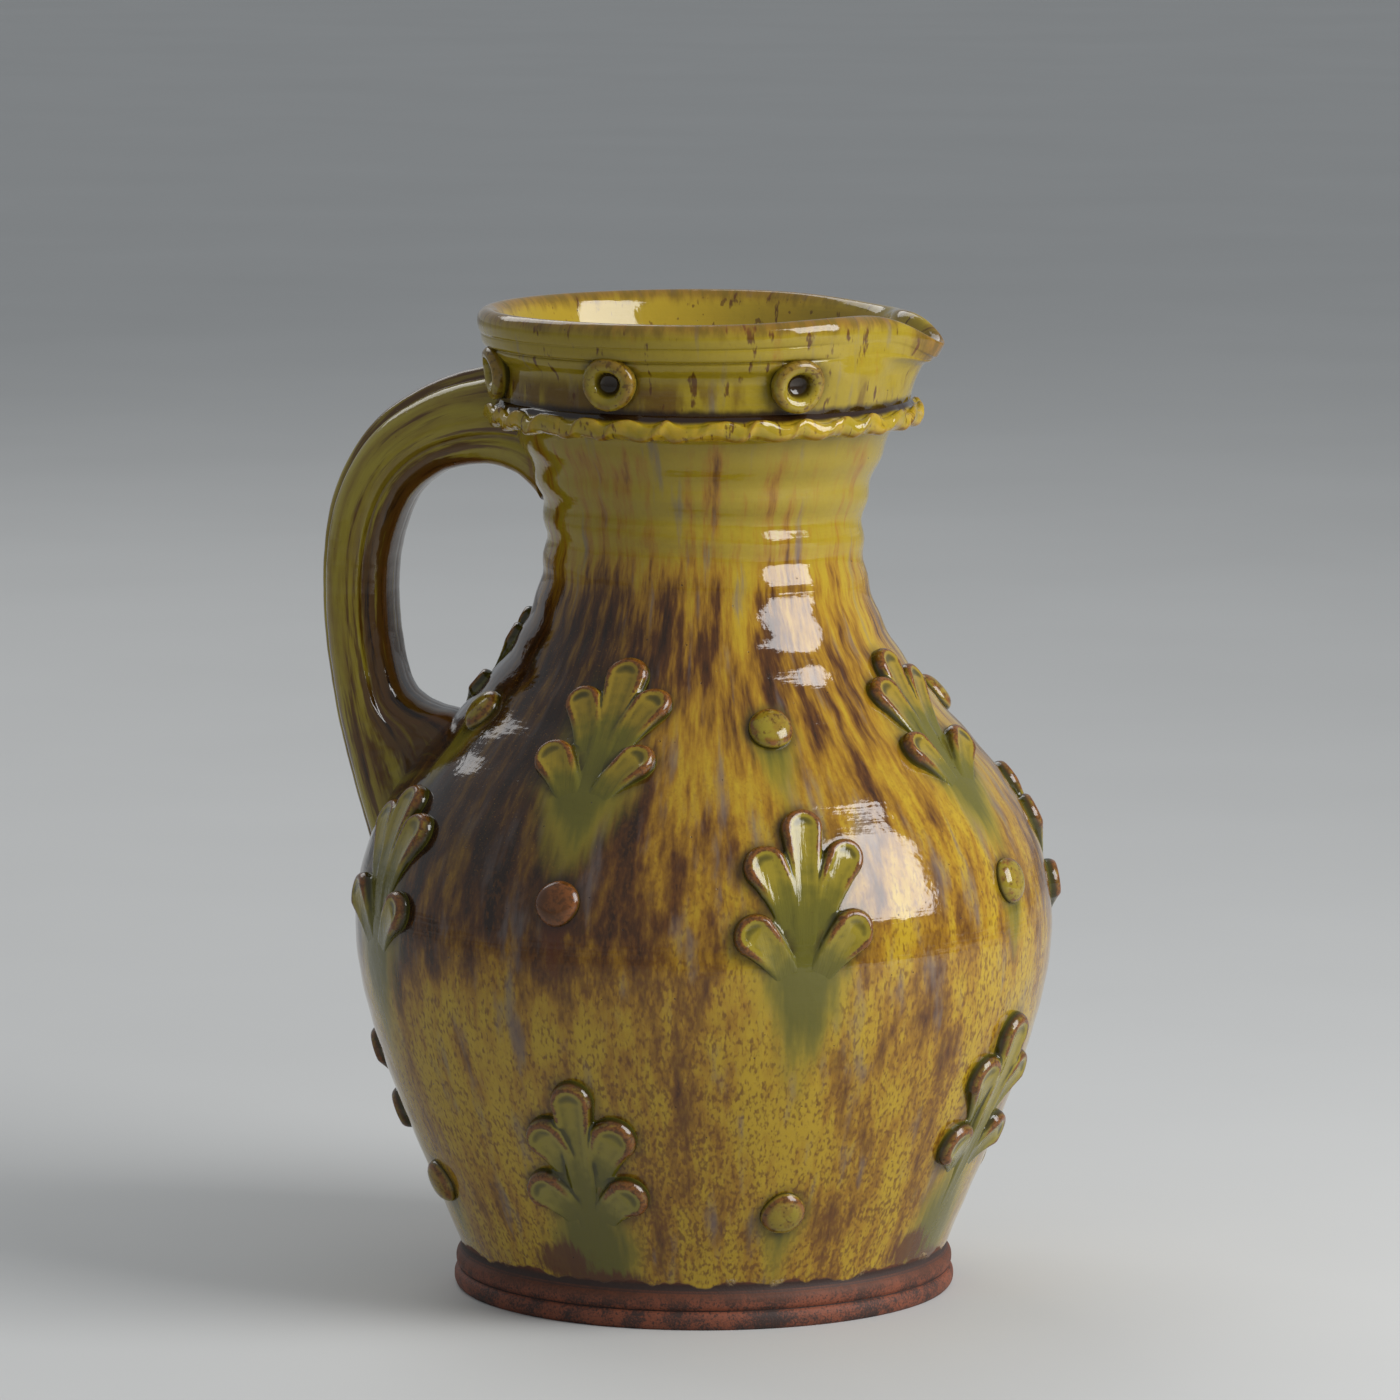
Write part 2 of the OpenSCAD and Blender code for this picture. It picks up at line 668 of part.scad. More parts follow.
module pellet(angle, z) {
    color("peru")
        difference() {
            stand_on_wall(angle, lookup(z, length_of_height))
                translate([0, 0, pellet_h - pellet_ball_r])
                    sphere(pellet_ball_r);
            filled_pot();
        }
}

module pellet_upper(i) {
    pellet(column_angle(2 * i + 1), belly_z + upper_pellet_share * shoulder_rise);
}

module pellet_middle(i) {
    under_handle = i == columns / 4;
    pellet(column_angle(2 * i), belly_z + (under_handle ? handle_pellet_rise : middle_pellet_rise));
}

module pellet_lower(i) {
    pellet(column_angle(2 * i + 1), foot_h + lower_pellet_rise);
}

jug_body();
handle();
frill_band();
for (i = [1:collar_places - 1])
    ring_boss(i);
for (i = [1:columns / 2]) {
    leaf_sprig_upper(i - 1);
    leaf_sprig_middle(i - 1);
    leaf_sprig_lower(i - 1);
    pellet_upper(i - 1);
    pellet_middle(i - 1);
    pellet_lower(i - 1);
}
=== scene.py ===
"""A hand-thrown pouring jug with luted leaves, buttons and rings, in a streaked honey glaze over red clay."""
import math
import random

import bpy
import numpy as np
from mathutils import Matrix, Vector
from mathutils.kdtree import KDTree


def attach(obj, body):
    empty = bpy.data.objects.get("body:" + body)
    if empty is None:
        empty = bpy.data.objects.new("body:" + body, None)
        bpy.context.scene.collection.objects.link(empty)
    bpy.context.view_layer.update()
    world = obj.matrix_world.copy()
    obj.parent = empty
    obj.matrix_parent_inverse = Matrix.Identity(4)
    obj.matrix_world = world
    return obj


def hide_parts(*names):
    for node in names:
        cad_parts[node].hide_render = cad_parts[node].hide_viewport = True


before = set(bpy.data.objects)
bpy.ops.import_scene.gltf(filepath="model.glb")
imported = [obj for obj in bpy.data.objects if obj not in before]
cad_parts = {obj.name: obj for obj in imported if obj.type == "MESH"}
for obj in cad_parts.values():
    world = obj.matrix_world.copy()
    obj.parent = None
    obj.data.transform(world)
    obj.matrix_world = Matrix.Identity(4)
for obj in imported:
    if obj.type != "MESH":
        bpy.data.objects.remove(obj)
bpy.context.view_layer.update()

# Sizes of the pot in millimetres, the same as the solids of the frame
MM = 0.001
FOOT_R = 76.7
FOOT_ROLL_H = 5.5
FOOT_SWELL = 1.2
FOOT_SET_IN = 0.6
FOOT_H = 14.5
FLOOR_T = 7.5
WALL = 5.0
WAIST_R = 75.2
BELLY_R = 106.5
BELLY_Z = 112.0
NECK_R = 48.1
NECK_Z = 232.0
FLARE_R = 57.5
FLARE_Z = 264.0
COLLAR_R = 62.2
LIP_ROOT_Z = 271.0
RIM_Z = 283.0
RIM_RISE = 17.0
RIM_FLARE = 6.4
RIM_LINE = 0.8
LIP_REACH = 8.1
LIP_DROP = 9.0
LIP_PINCH = 4.0
LIP_TURN = math.radians(11.8)
PINCH_TURN = math.radians(24)
# The rim rises a little before the lip on one side and sinks behind it on the other, as a hand leaves it
LIP_RISE = 1.1
LIP_SAG = 2.6
# How far apart the throwing rings are, and how far the wall strays from round
RING_PITCH = 12.0
WOBBLE = 0.8
# How deep a luted piece is pressed into the wall
BURY = 1.6

# Sizes and places of the ornament
COLUMNS = 8
FIRST_COLUMN = -15.5
COLUMN_DRIFT = (0, -0.5, 4, 5, 13, 3.5, -1.5, -5)
LEAF_LEAN = 0.06
LEAF_LEN = 43.6
LOBE_H = 3.7
LONG_STEM = 25
SHORT_STEM = 14
LEAF_Z = {"upper": BELLY_Z + 48, "middle": BELLY_Z - 1.5, "lower": FOOT_H + 5.5}
BUTTON_R = 6.8
BUTTON_H = 3.7
BUTTON_Z = {"upper": BELLY_Z + 68, "middle": BELLY_Z + 20, "lower": FOOT_H + 22.5}
# Row and number of the one button that lost its glaze
WORN_BUTTON = ("middle", 2)
# The handle's loop holds a smaller leaf, and leaves room for its button only lower down
LOOP_LEAF_SHARE = 0.76
LOOP_LEAF_Z = 176.0
LOOP_BUTTON_Z = BELLY_Z + 6
BOSS_R = 8.1
BOSS_H = 4.2
BOSS_Z = 281.3
BOSSES = 6


def column_angle(column):
    return math.radians(FIRST_COLUMN - 360 / COLUMNS * column + COLUMN_DRIFT[column])


# Node trees

def both_ways(operation):
    """An operation with a term first, and with a term last."""
    return (lambda term, other: term.net.math(operation, term, other),
            lambda term, other: term.net.math(operation, other, term))


class Term:
    """A socket of a node tree that takes part in sums, so that a formula is written as one."""

    def __init__(self, net, socket):
        self.net = net
        self.socket = socket

    def __abs__(self):
        return self.net.math("ABSOLUTE", self)

    __add__, __radd__ = both_ways("ADD")
    __sub__, __rsub__ = both_ways("SUBTRACT")
    __mul__, __rmul__ = both_ways("MULTIPLY")
    __truediv__, __rtruediv__ = both_ways("DIVIDE")


class Net:
    """Builds a node tree from short calls. A name with a capital feeds an input, and one without sets a property."""

    def __init__(self, tree):
        self.tree = tree

    def feed(self, socket, value):
        if isinstance(value, Term):
            self.tree.links.new(value.socket, socket)
        else:
            socket.default_value = value

    def add(self, kind, give=0, **values):
        node = self.tree.nodes.new(kind)
        for name, value in values.items():
            if name[0].islower():
                setattr(node, name, value)
        for name, value in values.items():
            if name[0].isupper():
                self.feed(node.inputs[name.replace("_", " ")], value)
        return Term(self, node.outputs[give])

    def math(self, operation, *values, kind="ShaderNodeMath", give=0):
        made = self.add(kind, give=give, operation=operation)
        for socket, value in zip(made.socket.node.inputs, values):
            self.feed(socket, value)
        return made

    def vector(self, operation, *values, give="Vector"):
        return self.math(operation, *values, kind="ShaderNodeVectorMath", give=give)

    def stretch(self, vector, shares):
        return self.vector("MULTIPLY", vector, shares)

    def join(self, x, y, z):
        return self.add("ShaderNodeCombineXYZ", X=x, Y=y, Z=z)

    def parts(self, vector):
        node = self.add("ShaderNodeSeparateXYZ", Vector=vector).socket.node
        return [Term(self, socket) for socket in node.outputs]

    def step(self, value, low, high):
        """Runs smoothly from 0 at low to 1 at high."""
        return self.add("ShaderNodeMapRange", interpolation_type="SMOOTHSTEP", Value=value, From_Min=low,
                        From_Max=high)

    def bell(self, off):
        """1 in the middle, and less the further off."""
        return self.math("EXPONENT", off * off * -1)

    def noise(self, vector, size, detail=3.0, rough=0.5):
        """Cloudy noise between 0 and 1 with lumps of about that size."""
        return self.add("ShaderNodeTexNoise", Vector=vector, Scale=1 / size, Detail=detail, Roughness=rough)

    def streaky(self, vector, share, *noise):
        """Noise whose lumps are drawn out upright, the longer the smaller the share."""
        return self.noise(self.stretch(vector, (1, 1, share)), *noise)

    def line(self, share, rows, top):
        """Follows a smooth line through rows of (share, value), with no value over top."""
        node = self.add("ShaderNodeFloatCurve", Value=share).socket.node
        points = node.mapping.curves[0].points
        for _ in rows[2:]:
            points.new(0.5, 0.5)
        for point, (place, value) in zip(points, rows):
            point.location = (place, value / top)
        node.mapping.update()
        return Term(self, node.outputs[0]) * top

    def blend(self, share, under, over, kind="RGBA"):
        node = self.add("ShaderNodeMix", data_type=kind).socket.node
        first, give = {"VECTOR": (4, 1), "RGBA": (6, 2)}[kind]
        for slot, value in zip((0, first, first + 1), (share, under, over)):
            self.feed(node.inputs[slot], value)
        return Term(self, node.outputs[give])

    def coat(self, under, over, value, low, high, most=1):
        """Lays a colour over another where a value goes from low to high, with no more of it than most."""
        return self.blend(self.step(value, low, high) * most, under, over)


def new_tree(name, sizes):
    """A geometry tree with a named input for each size, and the terms of those inputs."""
    tree = bpy.data.node_groups.new(name, "GeometryNodeTree")
    for label, kind in {"Blank": "Geometry", **sizes}.items():
        tree.interface.new_socket(label, in_out="INPUT", socket_type="NodeSocket" + kind)
    tree.interface.new_socket("Piece", in_out="OUTPUT", socket_type="NodeSocketGeometry")
    net = Net(tree)
    node = tree.nodes.new("NodeGroupInput")
    return net, {socket.name: Term(net, socket) for socket in node.outputs if socket.name}


def keep(net, piece, name, value, kind="FLOAT_VECTOR"):
    return net.add("GeometryNodeStoreNamedAttribute", data_type=kind, domain="POINT", Geometry=piece, Name=name,
                   Value=value)


def end_tree(net, piece, material, wear_rounds, wear_depth):
    """Notes how far each point stands out of its neighbourhood, where glaze runs thin, or back, where it pools."""
    place = net.add("GeometryNodeInputPosition")
    calm = net.add("GeometryNodeBlurAttribute", data_type="FLOAT_VECTOR", Value=place, Iterations=wear_rounds)
    out = net.vector("SUBTRACT", place, calm)
    proud = net.vector("DOT_PRODUCT", out, net.add("GeometryNodeInputNormal"), give="Value")
    piece = keep(net, piece, "proud", proud / (wear_depth * MM), "FLOAT")
    piece = net.add("GeometryNodeSetShadeSmooth", Geometry=piece)
    piece = net.add("GeometryNodeRealizeInstances", Geometry=piece)
    piece = net.add("GeometryNodeSetMaterial", Geometry=piece, Material=material)
    end = net.tree.nodes.new("NodeGroupOutput")
    net.feed(end.inputs["Piece"], piece)
    return net.tree


def lay_sheet(net, size):
    """A flat sheet of columns and rows: its mesh, the share of its width, the run and rise of the section at its row,
    and a way to look up the section's notes there."""
    node = net.add("GeometryNodeMeshGrid", Vertices_X=size["Columns"], Vertices_Y=size["Rows"]).socket.node
    across, up, _ = net.parts(Term(net, node.outputs["UV Map"]))
    row = net.math("ROUND", up * (size["Rows"] - 1))

    def look_up(value, kind):
        return net.add("GeometryNodeSampleIndex", data_type=kind, Geometry=size["Blank"], Value=value, Index=row)

    def note(name):
        return look_up(net.add("GeometryNodeInputNamedAttribute", data_type="FLOAT", Name=name), "FLOAT")

    run, _, rise = net.parts(look_up(net.add("GeometryNodeInputPosition"), "FLOAT_VECTOR"))
    return Term(net, node.outputs["Mesh"]), across, run, rise, note


def close_sheet(net, sheet, target):
    """Moves a sheet's points to their places and joins its edges."""
    piece = net.add("GeometryNodeSetPosition", Geometry=sheet, Position=target)
    return net.add("GeometryNodeMergeByDistance", Geometry=piece, Distance=0.01 * MM)


def turned(net, run, angle, rise):
    """The place at a distance from the pot's axis, turned about it."""
    return net.join(run * net.math("COSINE", angle), run * net.math("SINE", angle), rise)


def on_curve(net, curve, mode, share):
    """The place and the heading at a Length or a Factor of a curve."""
    node = net.add("GeometryNodeSampleCurve", mode=mode.upper(), Curves=curve, **{mode: share}).socket.node
    return Term(net, node.outputs["Position"]), Term(net, node.outputs["Tangent"])


def new_object(name, data):
    made = bpy.data.objects.new(name, data)
    bpy.context.scene.collection.objects.link(made)
    return made


def frozen(made):
    """A plain mesh of an object as its modifiers leave it."""
    graph = bpy.context.evaluated_depsgraph_get()
    return bpy.data.meshes.new_from_object(made.evaluated_get(graph), preserve_all_data_layers=True, depsgraph=graph)


def shape(name, blank, tree, sizes):
    """Runs a geometry tree on a blank and keeps the result as a plain mesh."""
    made = new_object(name, blank)
    run = made.modifiers.new("shape", "NODES")
    run.node_group = tree
    for socket in tree.interface.items_tree:
        if socket.name in sizes:
            run[socket.identifier] = sizes[socket.name]
    mesh = frozen(made)
    made.modifiers.remove(run)
    made.data = mesh
    mesh.name = name
    return made


def points_of(mesh):
    places = np.empty(len(mesh.vertices) * 3)
    mesh.vertices.foreach_get("co", places)
    return places.reshape(-1, 3)


def new_mesh(name, points, edges=(), faces=()):
    """A mesh from points in millimetres."""
    mesh = bpy.data.meshes.new(name)
    mesh.from_pydata([tuple(v * MM for v in point) for point in points], edges, faces)
    return mesh


def line_mesh(name, rows, notes=()):
    """A line through rows of (radius, height, ...), with the further columns kept as named notes on its points."""
    mesh = new_mesh(name, [(row[0], 0, row[1]) for row in rows], [(i, i + 1) for i in range(len(rows) - 1)])
    for column, note in enumerate(notes, 2):
        layer = mesh.attributes.new(note, "FLOAT", "POINT")
        layer.data.foreach_set("value", [row[column] for row in rows])
    return mesh


# Lines of the pot

def bezier(p, t):
    s = 1 - t
    shares = (s * s * s, 3 * s * s * t, 3 * s * t * t, t * t * t)
    return tuple(sum(share * q[i] for share, q in zip(shares, p)) for i in range(2))


def heading(p, t):
    s = 1 - t
    shares = (s * s, 2 * s * t, t * t)
    x, y = (sum(share * (b[i] - a[i]) for share, a, b in zip(shares, p, p[1:])) for i in range(2))
    size = math.hypot(x, y)
    return x / size, y / size


def smooth_rows(rows, per_span):
    """A smooth line through rows of numbers."""
    made = []
    for i in range(len(rows) - 1):
        a, b, c, d = (np.array(rows[min(max(i + k, 0), len(rows) - 1)], float) for k in (-1, 0, 1, 2))
        for j in range(per_span):
            t = j / per_span
            made.append(tuple(b + t / 2 * (c - a + t * (2 * a - 5 * b + 4 * c - d + t * (3 * (b - c) + d - a)))))
    return made + [tuple(map(float, rows[-1]))]


LOWER = ((WAIST_R, FOOT_H), (86.4, 42.5), (BELLY_R, 82), (BELLY_R, BELLY_Z))
SHOULDER = ((BELLY_R, BELLY_Z), (BELLY_R, 169), (NECK_R, 179), (NECK_R, NECK_Z))
NECK = ((NECK_R, NECK_Z), (NECK_R, 244), (53.5, 254), (FLARE_R, FLARE_Z))
# Half section of collar and rim, from the outside over the crest to the inside: overhang, wall, rise from the lip's
# root to the rim, rise of the rim's band, turned line, and how far the lip's reach, drop and pinch move that point
RIM_SHARES = (
    (0, 0, -1, 0, 0, 0, 0, 0),
    (0, 0, -0.45, 0, 0, 0.2, 0, 0.05),
    (0, 0, 0, 0, 0, 0.32, 0.22, 0.25),
    (0.36, 0, 0, 0.17, 0, 0.32, 0.22, 0.4),
    (0.52, 0, 0, 0.28, 0, 0.38, 0.32, 0.5),
    (0.58, 0, 0, 0.33, 0.8, 0.4, 0.36, 0.55),
    (0.74, 0, 0, 0.37, 0, 0.42, 0.42, 0.6),
    (0.84, 0, 0, 0.53, 0, 0.46, 0.64, 0.7),
    (0.88, 0, 0, 0.57, 0.35, 0.48, 0.7, 0.74),
    (0.92, 0, 0, 0.61, 0, 0.49, 0.76, 0.78),
    (1, 0, 0, 0.74, 0, 0.52, 0.86, 0.88),
    (0.97, 0, 0, 0.87, 0, 0.64, 0.96, 0.95),
    (0.8, 0, 0, 0.96, 0, 0.84, 1, 1),
    (0.53, 0, 0, 1, 0, 1, 1, 1),
    (0.2, 0, 0, 0.96, 0, 1.07, 0.95, 1),
    (0, 0.14, 0, 0.8, 0, 0.97, 0.9, 0.95),
    (0, 0.5, 0, 0.42, 0, 0.66, 0.68, 0.7),
    (0, 0.86, 0, 0.08, 0, 0.42, 0.36, 0.4),
    (0, 1, -0.45, 0, 0, 0.14, 0.1, 0.1),
    (0, 1, -1, 0, 0, 0, 0, 0),
)


# Steps of the lower wall, the shoulder and the neck
OUTER_STEPS = (40, 68, 18)
INNER_STEPS = (16, 26, 8)


def ring_depth(z):
    """Depth of the throwing rings at a height: deep on the neck, faint on the shoulder and hardly any lower down."""
    neck = max(0.0, 1 - abs(z - 243) / 26)
    shoulder = max(0.0, 1 - abs(z - 195) / 60)
    return 0.55 * neck ** 0.6 + 0.28 * shoulder + 0.06


def foot_rows():
    """Two rolls, the upper one set in a little, and the groove under the wall."""
    rows = []
    for roll in (0, 1):
        for i in range(13):
            t = i / 6 - 1
            swell = FOOT_SWELL * t * t * (1 + t * t) / 2
            rows.append((FOOT_R - FOOT_SET_IN * roll - swell, FOOT_ROLL_H * (roll + i / 12)))
    return rows + [(WAIST_R - 0.4, 11.5), (WAIST_R - 0.7, 12.2), (WAIST_R - 0.5, 13.3)]


def wall_rows(steps):
    rows = []
    for curve, count in zip((LOWER, SHOULDER, NECK), steps):
        for i in range(count):
            rows.append((*bezier(curve, i / count), heading(curve, i / count)))
    return rows + [(*NECK[3], heading(NECK, 1))]


def rim_rows():
    lip_root = RIM_Z - LIP_ROOT_Z
    rows = []
    for over, wall, root, band, line, reach, drop, pinch in RIM_SHARES:
        run = COLLAR_R + over * RIM_FLARE - wall * WALL
        rise = RIM_Z + root * lip_root + band * RIM_RISE
        level = max(0.0, 0.62 + 0.62 * root + 0.36 * band - over) * RIM_FLARE if wall == 0 and band < 0.5 else 0.0
        fill, crease = (level, 0.0) if band < 0.2 else (0.0, level)
        rows.append((run, rise, reach * LIP_REACH, drop * LIP_DROP, pinch * LIP_PINCH, fill, crease, line * RIM_LINE))
    return smooth_rows(rows, 4)


# The lip's reach, drop and pinch, the fill beside the lip, the fill of the band's crease, the turned lines, the
# throwing rings' depth, and 1 on the inside
POT_NOTES = ("reach", "drop", "pinch", "fill", "crease", "line", "ring", "inside")


def pot_rows():
    """Half section of the pot from the middle of its underside round to the middle of its floor: radius, height and
    the notes."""
    still = (0, 0, 0, 0, 0, 0)
    rows = [(FOOT_R * share, 0, *still, 0, 0) for share in (0, 0.3, 0.6, 0.8, 0.9, 0.96)]
    rows += [(r, z, *still, 0, 0) for r, z in foot_rows()]
    rows += [(r, z, *still, ring_depth(z), 0) for r, z, _ in wall_rows(OUTER_STEPS)]
    rows += [(FLARE_R + 3.4, FLARE_Z + 3.6, *still, 0, 0), (COLLAR_R - 0.4, FLARE_Z + 5.6, *still, 0, 0)]
    rim = rim_rows()
    crest = max(range(len(rim)), key=lambda i: rim[i][1])
    rows += [(*row, 0, float(i > crest + 6)) for i, row in enumerate(rim)]
    for r, z, (across, up) in reversed(wall_rows(INNER_STEPS)):
        rows.append((r - WALL * up, z + WALL * across, *still, 0.5 * ring_depth(z), 1))
    floor = ((66, 11.5), (60, 8.4), *((r, FLOOR_T) for r in (50, 36, 20, 8, 0)))
    return rows + [(r, z, *still, 0, 1) for r, z in floor]


def lengths_along(rows):
    """The length along a line up to each of its rows."""
    return np.concatenate([[0], np.cumsum(np.hypot(*np.diff(np.array(rows), axis=0).T))])


def outer_line():
    """The plain outside from the foot to the rim, and the length along it at a height."""
    rows = [(r, z) for r, z, _ in wall_rows(OUTER_STEPS)]
    rows += [(COLLAR_R - 0.4, FLARE_Z + 5.6), (COLLAR_R, LIP_ROOT_Z), (COLLAR_R + 0.2, 277), (COLLAR_R + 0.9, RIM_Z),
             (COLLAR_R + 1.9, 288), (COLLAR_R + 3, 294)]
    lengths = lengths_along(rows)
    return rows, lambda z: float(np.interp(z, [row[1] for row in rows], lengths))


OUTER, length_at = outer_line()


# Trees that make the pieces

def throwing_tree():
    """Turns a half section into the pot, with the spiral of the potter's fingers, and pulls its lip."""
    net, size = new_tree("throw the pot", {
        "Columns": "Int", "Rows": "Int", "Lip turn": "Float", "Pinch turn": "Float", "Lip rise": "Float",
        "Lip sag": "Float", "Ring pitch": "Float", "Wobble": "Float", "Material": "Material"})
    sheet, across, run, rise, note = lay_sheet(net, size)
    angle = (across - 0.5) * (2 * math.pi)
    notes = {name: note(name) for name in POT_NOTES}
    pull = net.bell(angle / size["Lip turn"])
    pinch = net.bell((abs(angle) - size["Pinch turn"]) / size["Lip turn"]) * notes["pinch"] * MM

    def by_side(turn, spread):
        return net.bell((angle - math.radians(turn)) / math.radians(spread)) * notes["drop"] * (MM / LIP_DROP)

    sway = by_side(-40, 20) * size["Lip rise"] - by_side(42, 28) * size["Lip sag"]
    # Beside the lip the pull smoothed the collar out to the rim's band
    pulled = net.step(abs(angle), math.radians(56), math.radians(36))
    smoothed = pulled * (net.step(abs(angle), math.radians(13), math.radians(26)) * 0.7 + 0.3)
    lumps = net.noise(turned(net, 1, angle, rise * 9), 0.8) - 0.5
    spiral = net.math("SINE", rise / size["Ring pitch"] * (2 * math.pi) + angle + lumps * 3)
    patchy = net.noise(turned(net, 2, angle, rise * 30), 1.0) + 0.5
    run = run + pull * notes["reach"] * MM - pinch + spiral * patchy * notes["ring"] * MM
    run = run + (smoothed * notes["fill"] + pulled * notes["crease"] - notes["line"] * (1 - pulled)) * MM
    foot_free = net.step(rise, 0.012, 0.05)
    run = run + lumps * size["Wobble"] * foot_free
    rise = rise - pull * notes["drop"] * MM + sway
    piece = keep(net, sheet, "inside", notes["inside"], "FLOAT")
    piece = close_sheet(net, piece, turned(net, run, angle, rise))
    return end_tree(net, piece, size["Material"], wear_rounds=5, wear_depth=0.3)


def luting_tree():
    """Lays a flat design on the pot's wall: across, up along the wall, and out of it."""
    net, size = new_tree("lute on the wall", {
        "Wall": "Object", "Angle": "Float", "Base": "Float", "Lean": "Float", "Wear rounds": "Int",
        "Material": "Material"})
    wall = net.add("GeometryNodeObjectInfo", give="Geometry", Object=size["Wall"])
    wall = net.add("GeometryNodeMeshToCurve", Mesh=wall)
    design = net.add("GeometryNodeInputPosition")
    across, up, out = net.parts(design)
    place, ahead = on_curve(net, wall, "Length", size["Base"] + up)
    run, _, rise = net.parts(place)
    lean_out, _, lean_up = net.parts(ahead)
    angle = size["Angle"] + (across + size["Lean"] * up) / run
    piece = keep(net, size["Blank"], "design", design)
    _, _, facing = net.parts(net.add("GeometryNodeInputNormal"))
    piece = keep(net, piece, "facing", facing, "FLOAT")
    target = turned(net, run + out * lean_up, angle, rise - out * lean_out)
    piece = net.add("GeometryNodeSetPosition", Geometry=piece, Position=target)
    return end_tree(net, piece, size["Material"], size["Wear rounds"], wear_depth=0.14)


def frilling_tree():
    """Runs a strip round the top of the neck and waves its edge."""
    net, size = new_tree("frill a cordon", {
        "Columns": "Int", "Rows": "Int", "End angle": "Float", "Waves": "Float", "Wave": "Float",
        "Material": "Material"})
    sheet, across, run, rise, note = lay_sheet(net, size)
    turn = across * 2 - 1
    angle = turn * size["End angle"]
    seat = note("seat") * MM
    level = FLARE_Z * MM
    lumps = net.noise(turned(net, 4, angle, 0), 1.0)
    phase = angle * size["Waves"] + lumps * 8 - (rise - level) * 240
    strong = (lumps + 0.35) * note("wave") * size["Wave"]
    fold = net.math("POWER", abs(net.math("SINE", phase * 0.5 + 0.4)), 0.6)
    rise = rise + strong * net.math("SINE", phase)
    run = run + strong * 0.5 * net.math("SINE", phase + 1.9) + strong * 0.6 * (fold - 0.7)
    ends = net.step(abs(turn), 1, 0.985)
    run = seat + (run - seat) * ends
    rise = level + (rise - level) * ends
    piece = close_sheet(net, sheet, turned(net, run, angle, rise))
    piece = net.add("GeometryNodeFlipFaces", Mesh=piece)
    return end_tree(net, piece, size["Material"], wear_rounds=8, wear_depth=0.3)


# Points of the two bends of the handle's middle, which meet at the fourth
BEND_NAMES = ("Root", "Root pull", "Top bend", "Far", "Foot bend", "Foot pull", "Foot")


def pulling_tree(swell):
    """Draws a strap's section out along two bends, swells it at its roots and closes its ends."""
    net, size = new_tree("pull a handle", {
        "Columns": "Int", "Rows": "Int", **dict.fromkeys(BEND_NAMES, "Vector"), "Width": "Float",
        "Thickness": "Float", "Material": "Material"})
    sheet, along, half_w, half_t, _ = lay_sheet(net, size)

    def on_bend(names, share):
        start, pull, bend, end = (size[name] for name in names)
        arc = net.add("GeometryNodeCurvePrimitiveBezierSegment", mode="POSITION", Resolution=64, Start=start,
                      Start_Handle=pull, End_Handle=bend, End=end)
        return on_curve(net, arc, "Factor", share)

    upper = on_bend(BEND_NAMES[:4], along * 2)
    lower = on_bend(BEND_NAMES[3:], along * 2 - 1)
    second = net.math("GREATER_THAN", along, 0.5)
    middle, ahead = (net.blend(second, *pair, "VECTOR") for pair in zip(upper, lower))
    ahead_x, _, ahead_z = net.parts(ahead)
    lumps = net.noise(net.stretch(middle, (60, 60, 60)), 1.0) - 0.5
    wide, outer, inner = (net.line(along, rows, 3) + lumps * 0.08 for rows in swell)
    is_out = net.math("GREATER_THAN", half_t, 0)
    thick = inner + (outer - inner) * is_out
    ends = net.step(along, 0.0, 0.012) * net.step(along, 1.0, 0.988)
    out = half_t / MM * size["Thickness"] * 0.5 * thick * ends
    side = half_w / MM * size["Width"] * 0.5 * wide * ends
    target = net.vector("ADD", middle, net.join(out * ahead_z, side, out * ahead_x * -1))
    piece = keep(net, sheet, "strap", net.join(half_w / MM, half_t / MM, along))
    piece = close_sheet(net, piece, target)
    piece = net.add("GeometryNodeFlipFaces", Mesh=piece)
    return end_tree(net, piece, size["Material"], wear_rounds=8, wear_depth=0.5)


# Flat designs: across, up and out

def ring_faces(rings, count):
    faces = []
    for k in range(rings - 1):
        for i in range(count):
            j = (i + 1) % count
            faces.append((k * count + i, k * count + j, (k + 1) * count + j, (k + 1) * count + i))
    return faces


def fill_faces(first, count, flip):
    """Fills a ring whose two halves run out and back."""
    faces = []
    for i in range(count // 2 - 1):
        face = (first + i, first + i + 1, first + count - 2 - i, first + count - 1 - i)
        faces.append(face[::-1] if flip else face)
    return faces


# Rings of a lobe from its foot to the middle of its dished face: inset and height
LOBE_RINGS = ((0, 0.05), (0, 0.24), (0.03, 0.48), (0.08, 0.68), (0.15, 0.85), (0.22, 0.96), (0.29, 1),
              (0.37, 0.97), (0.5, 0.88), (0.66, 0.81), (0.85, 0.78))


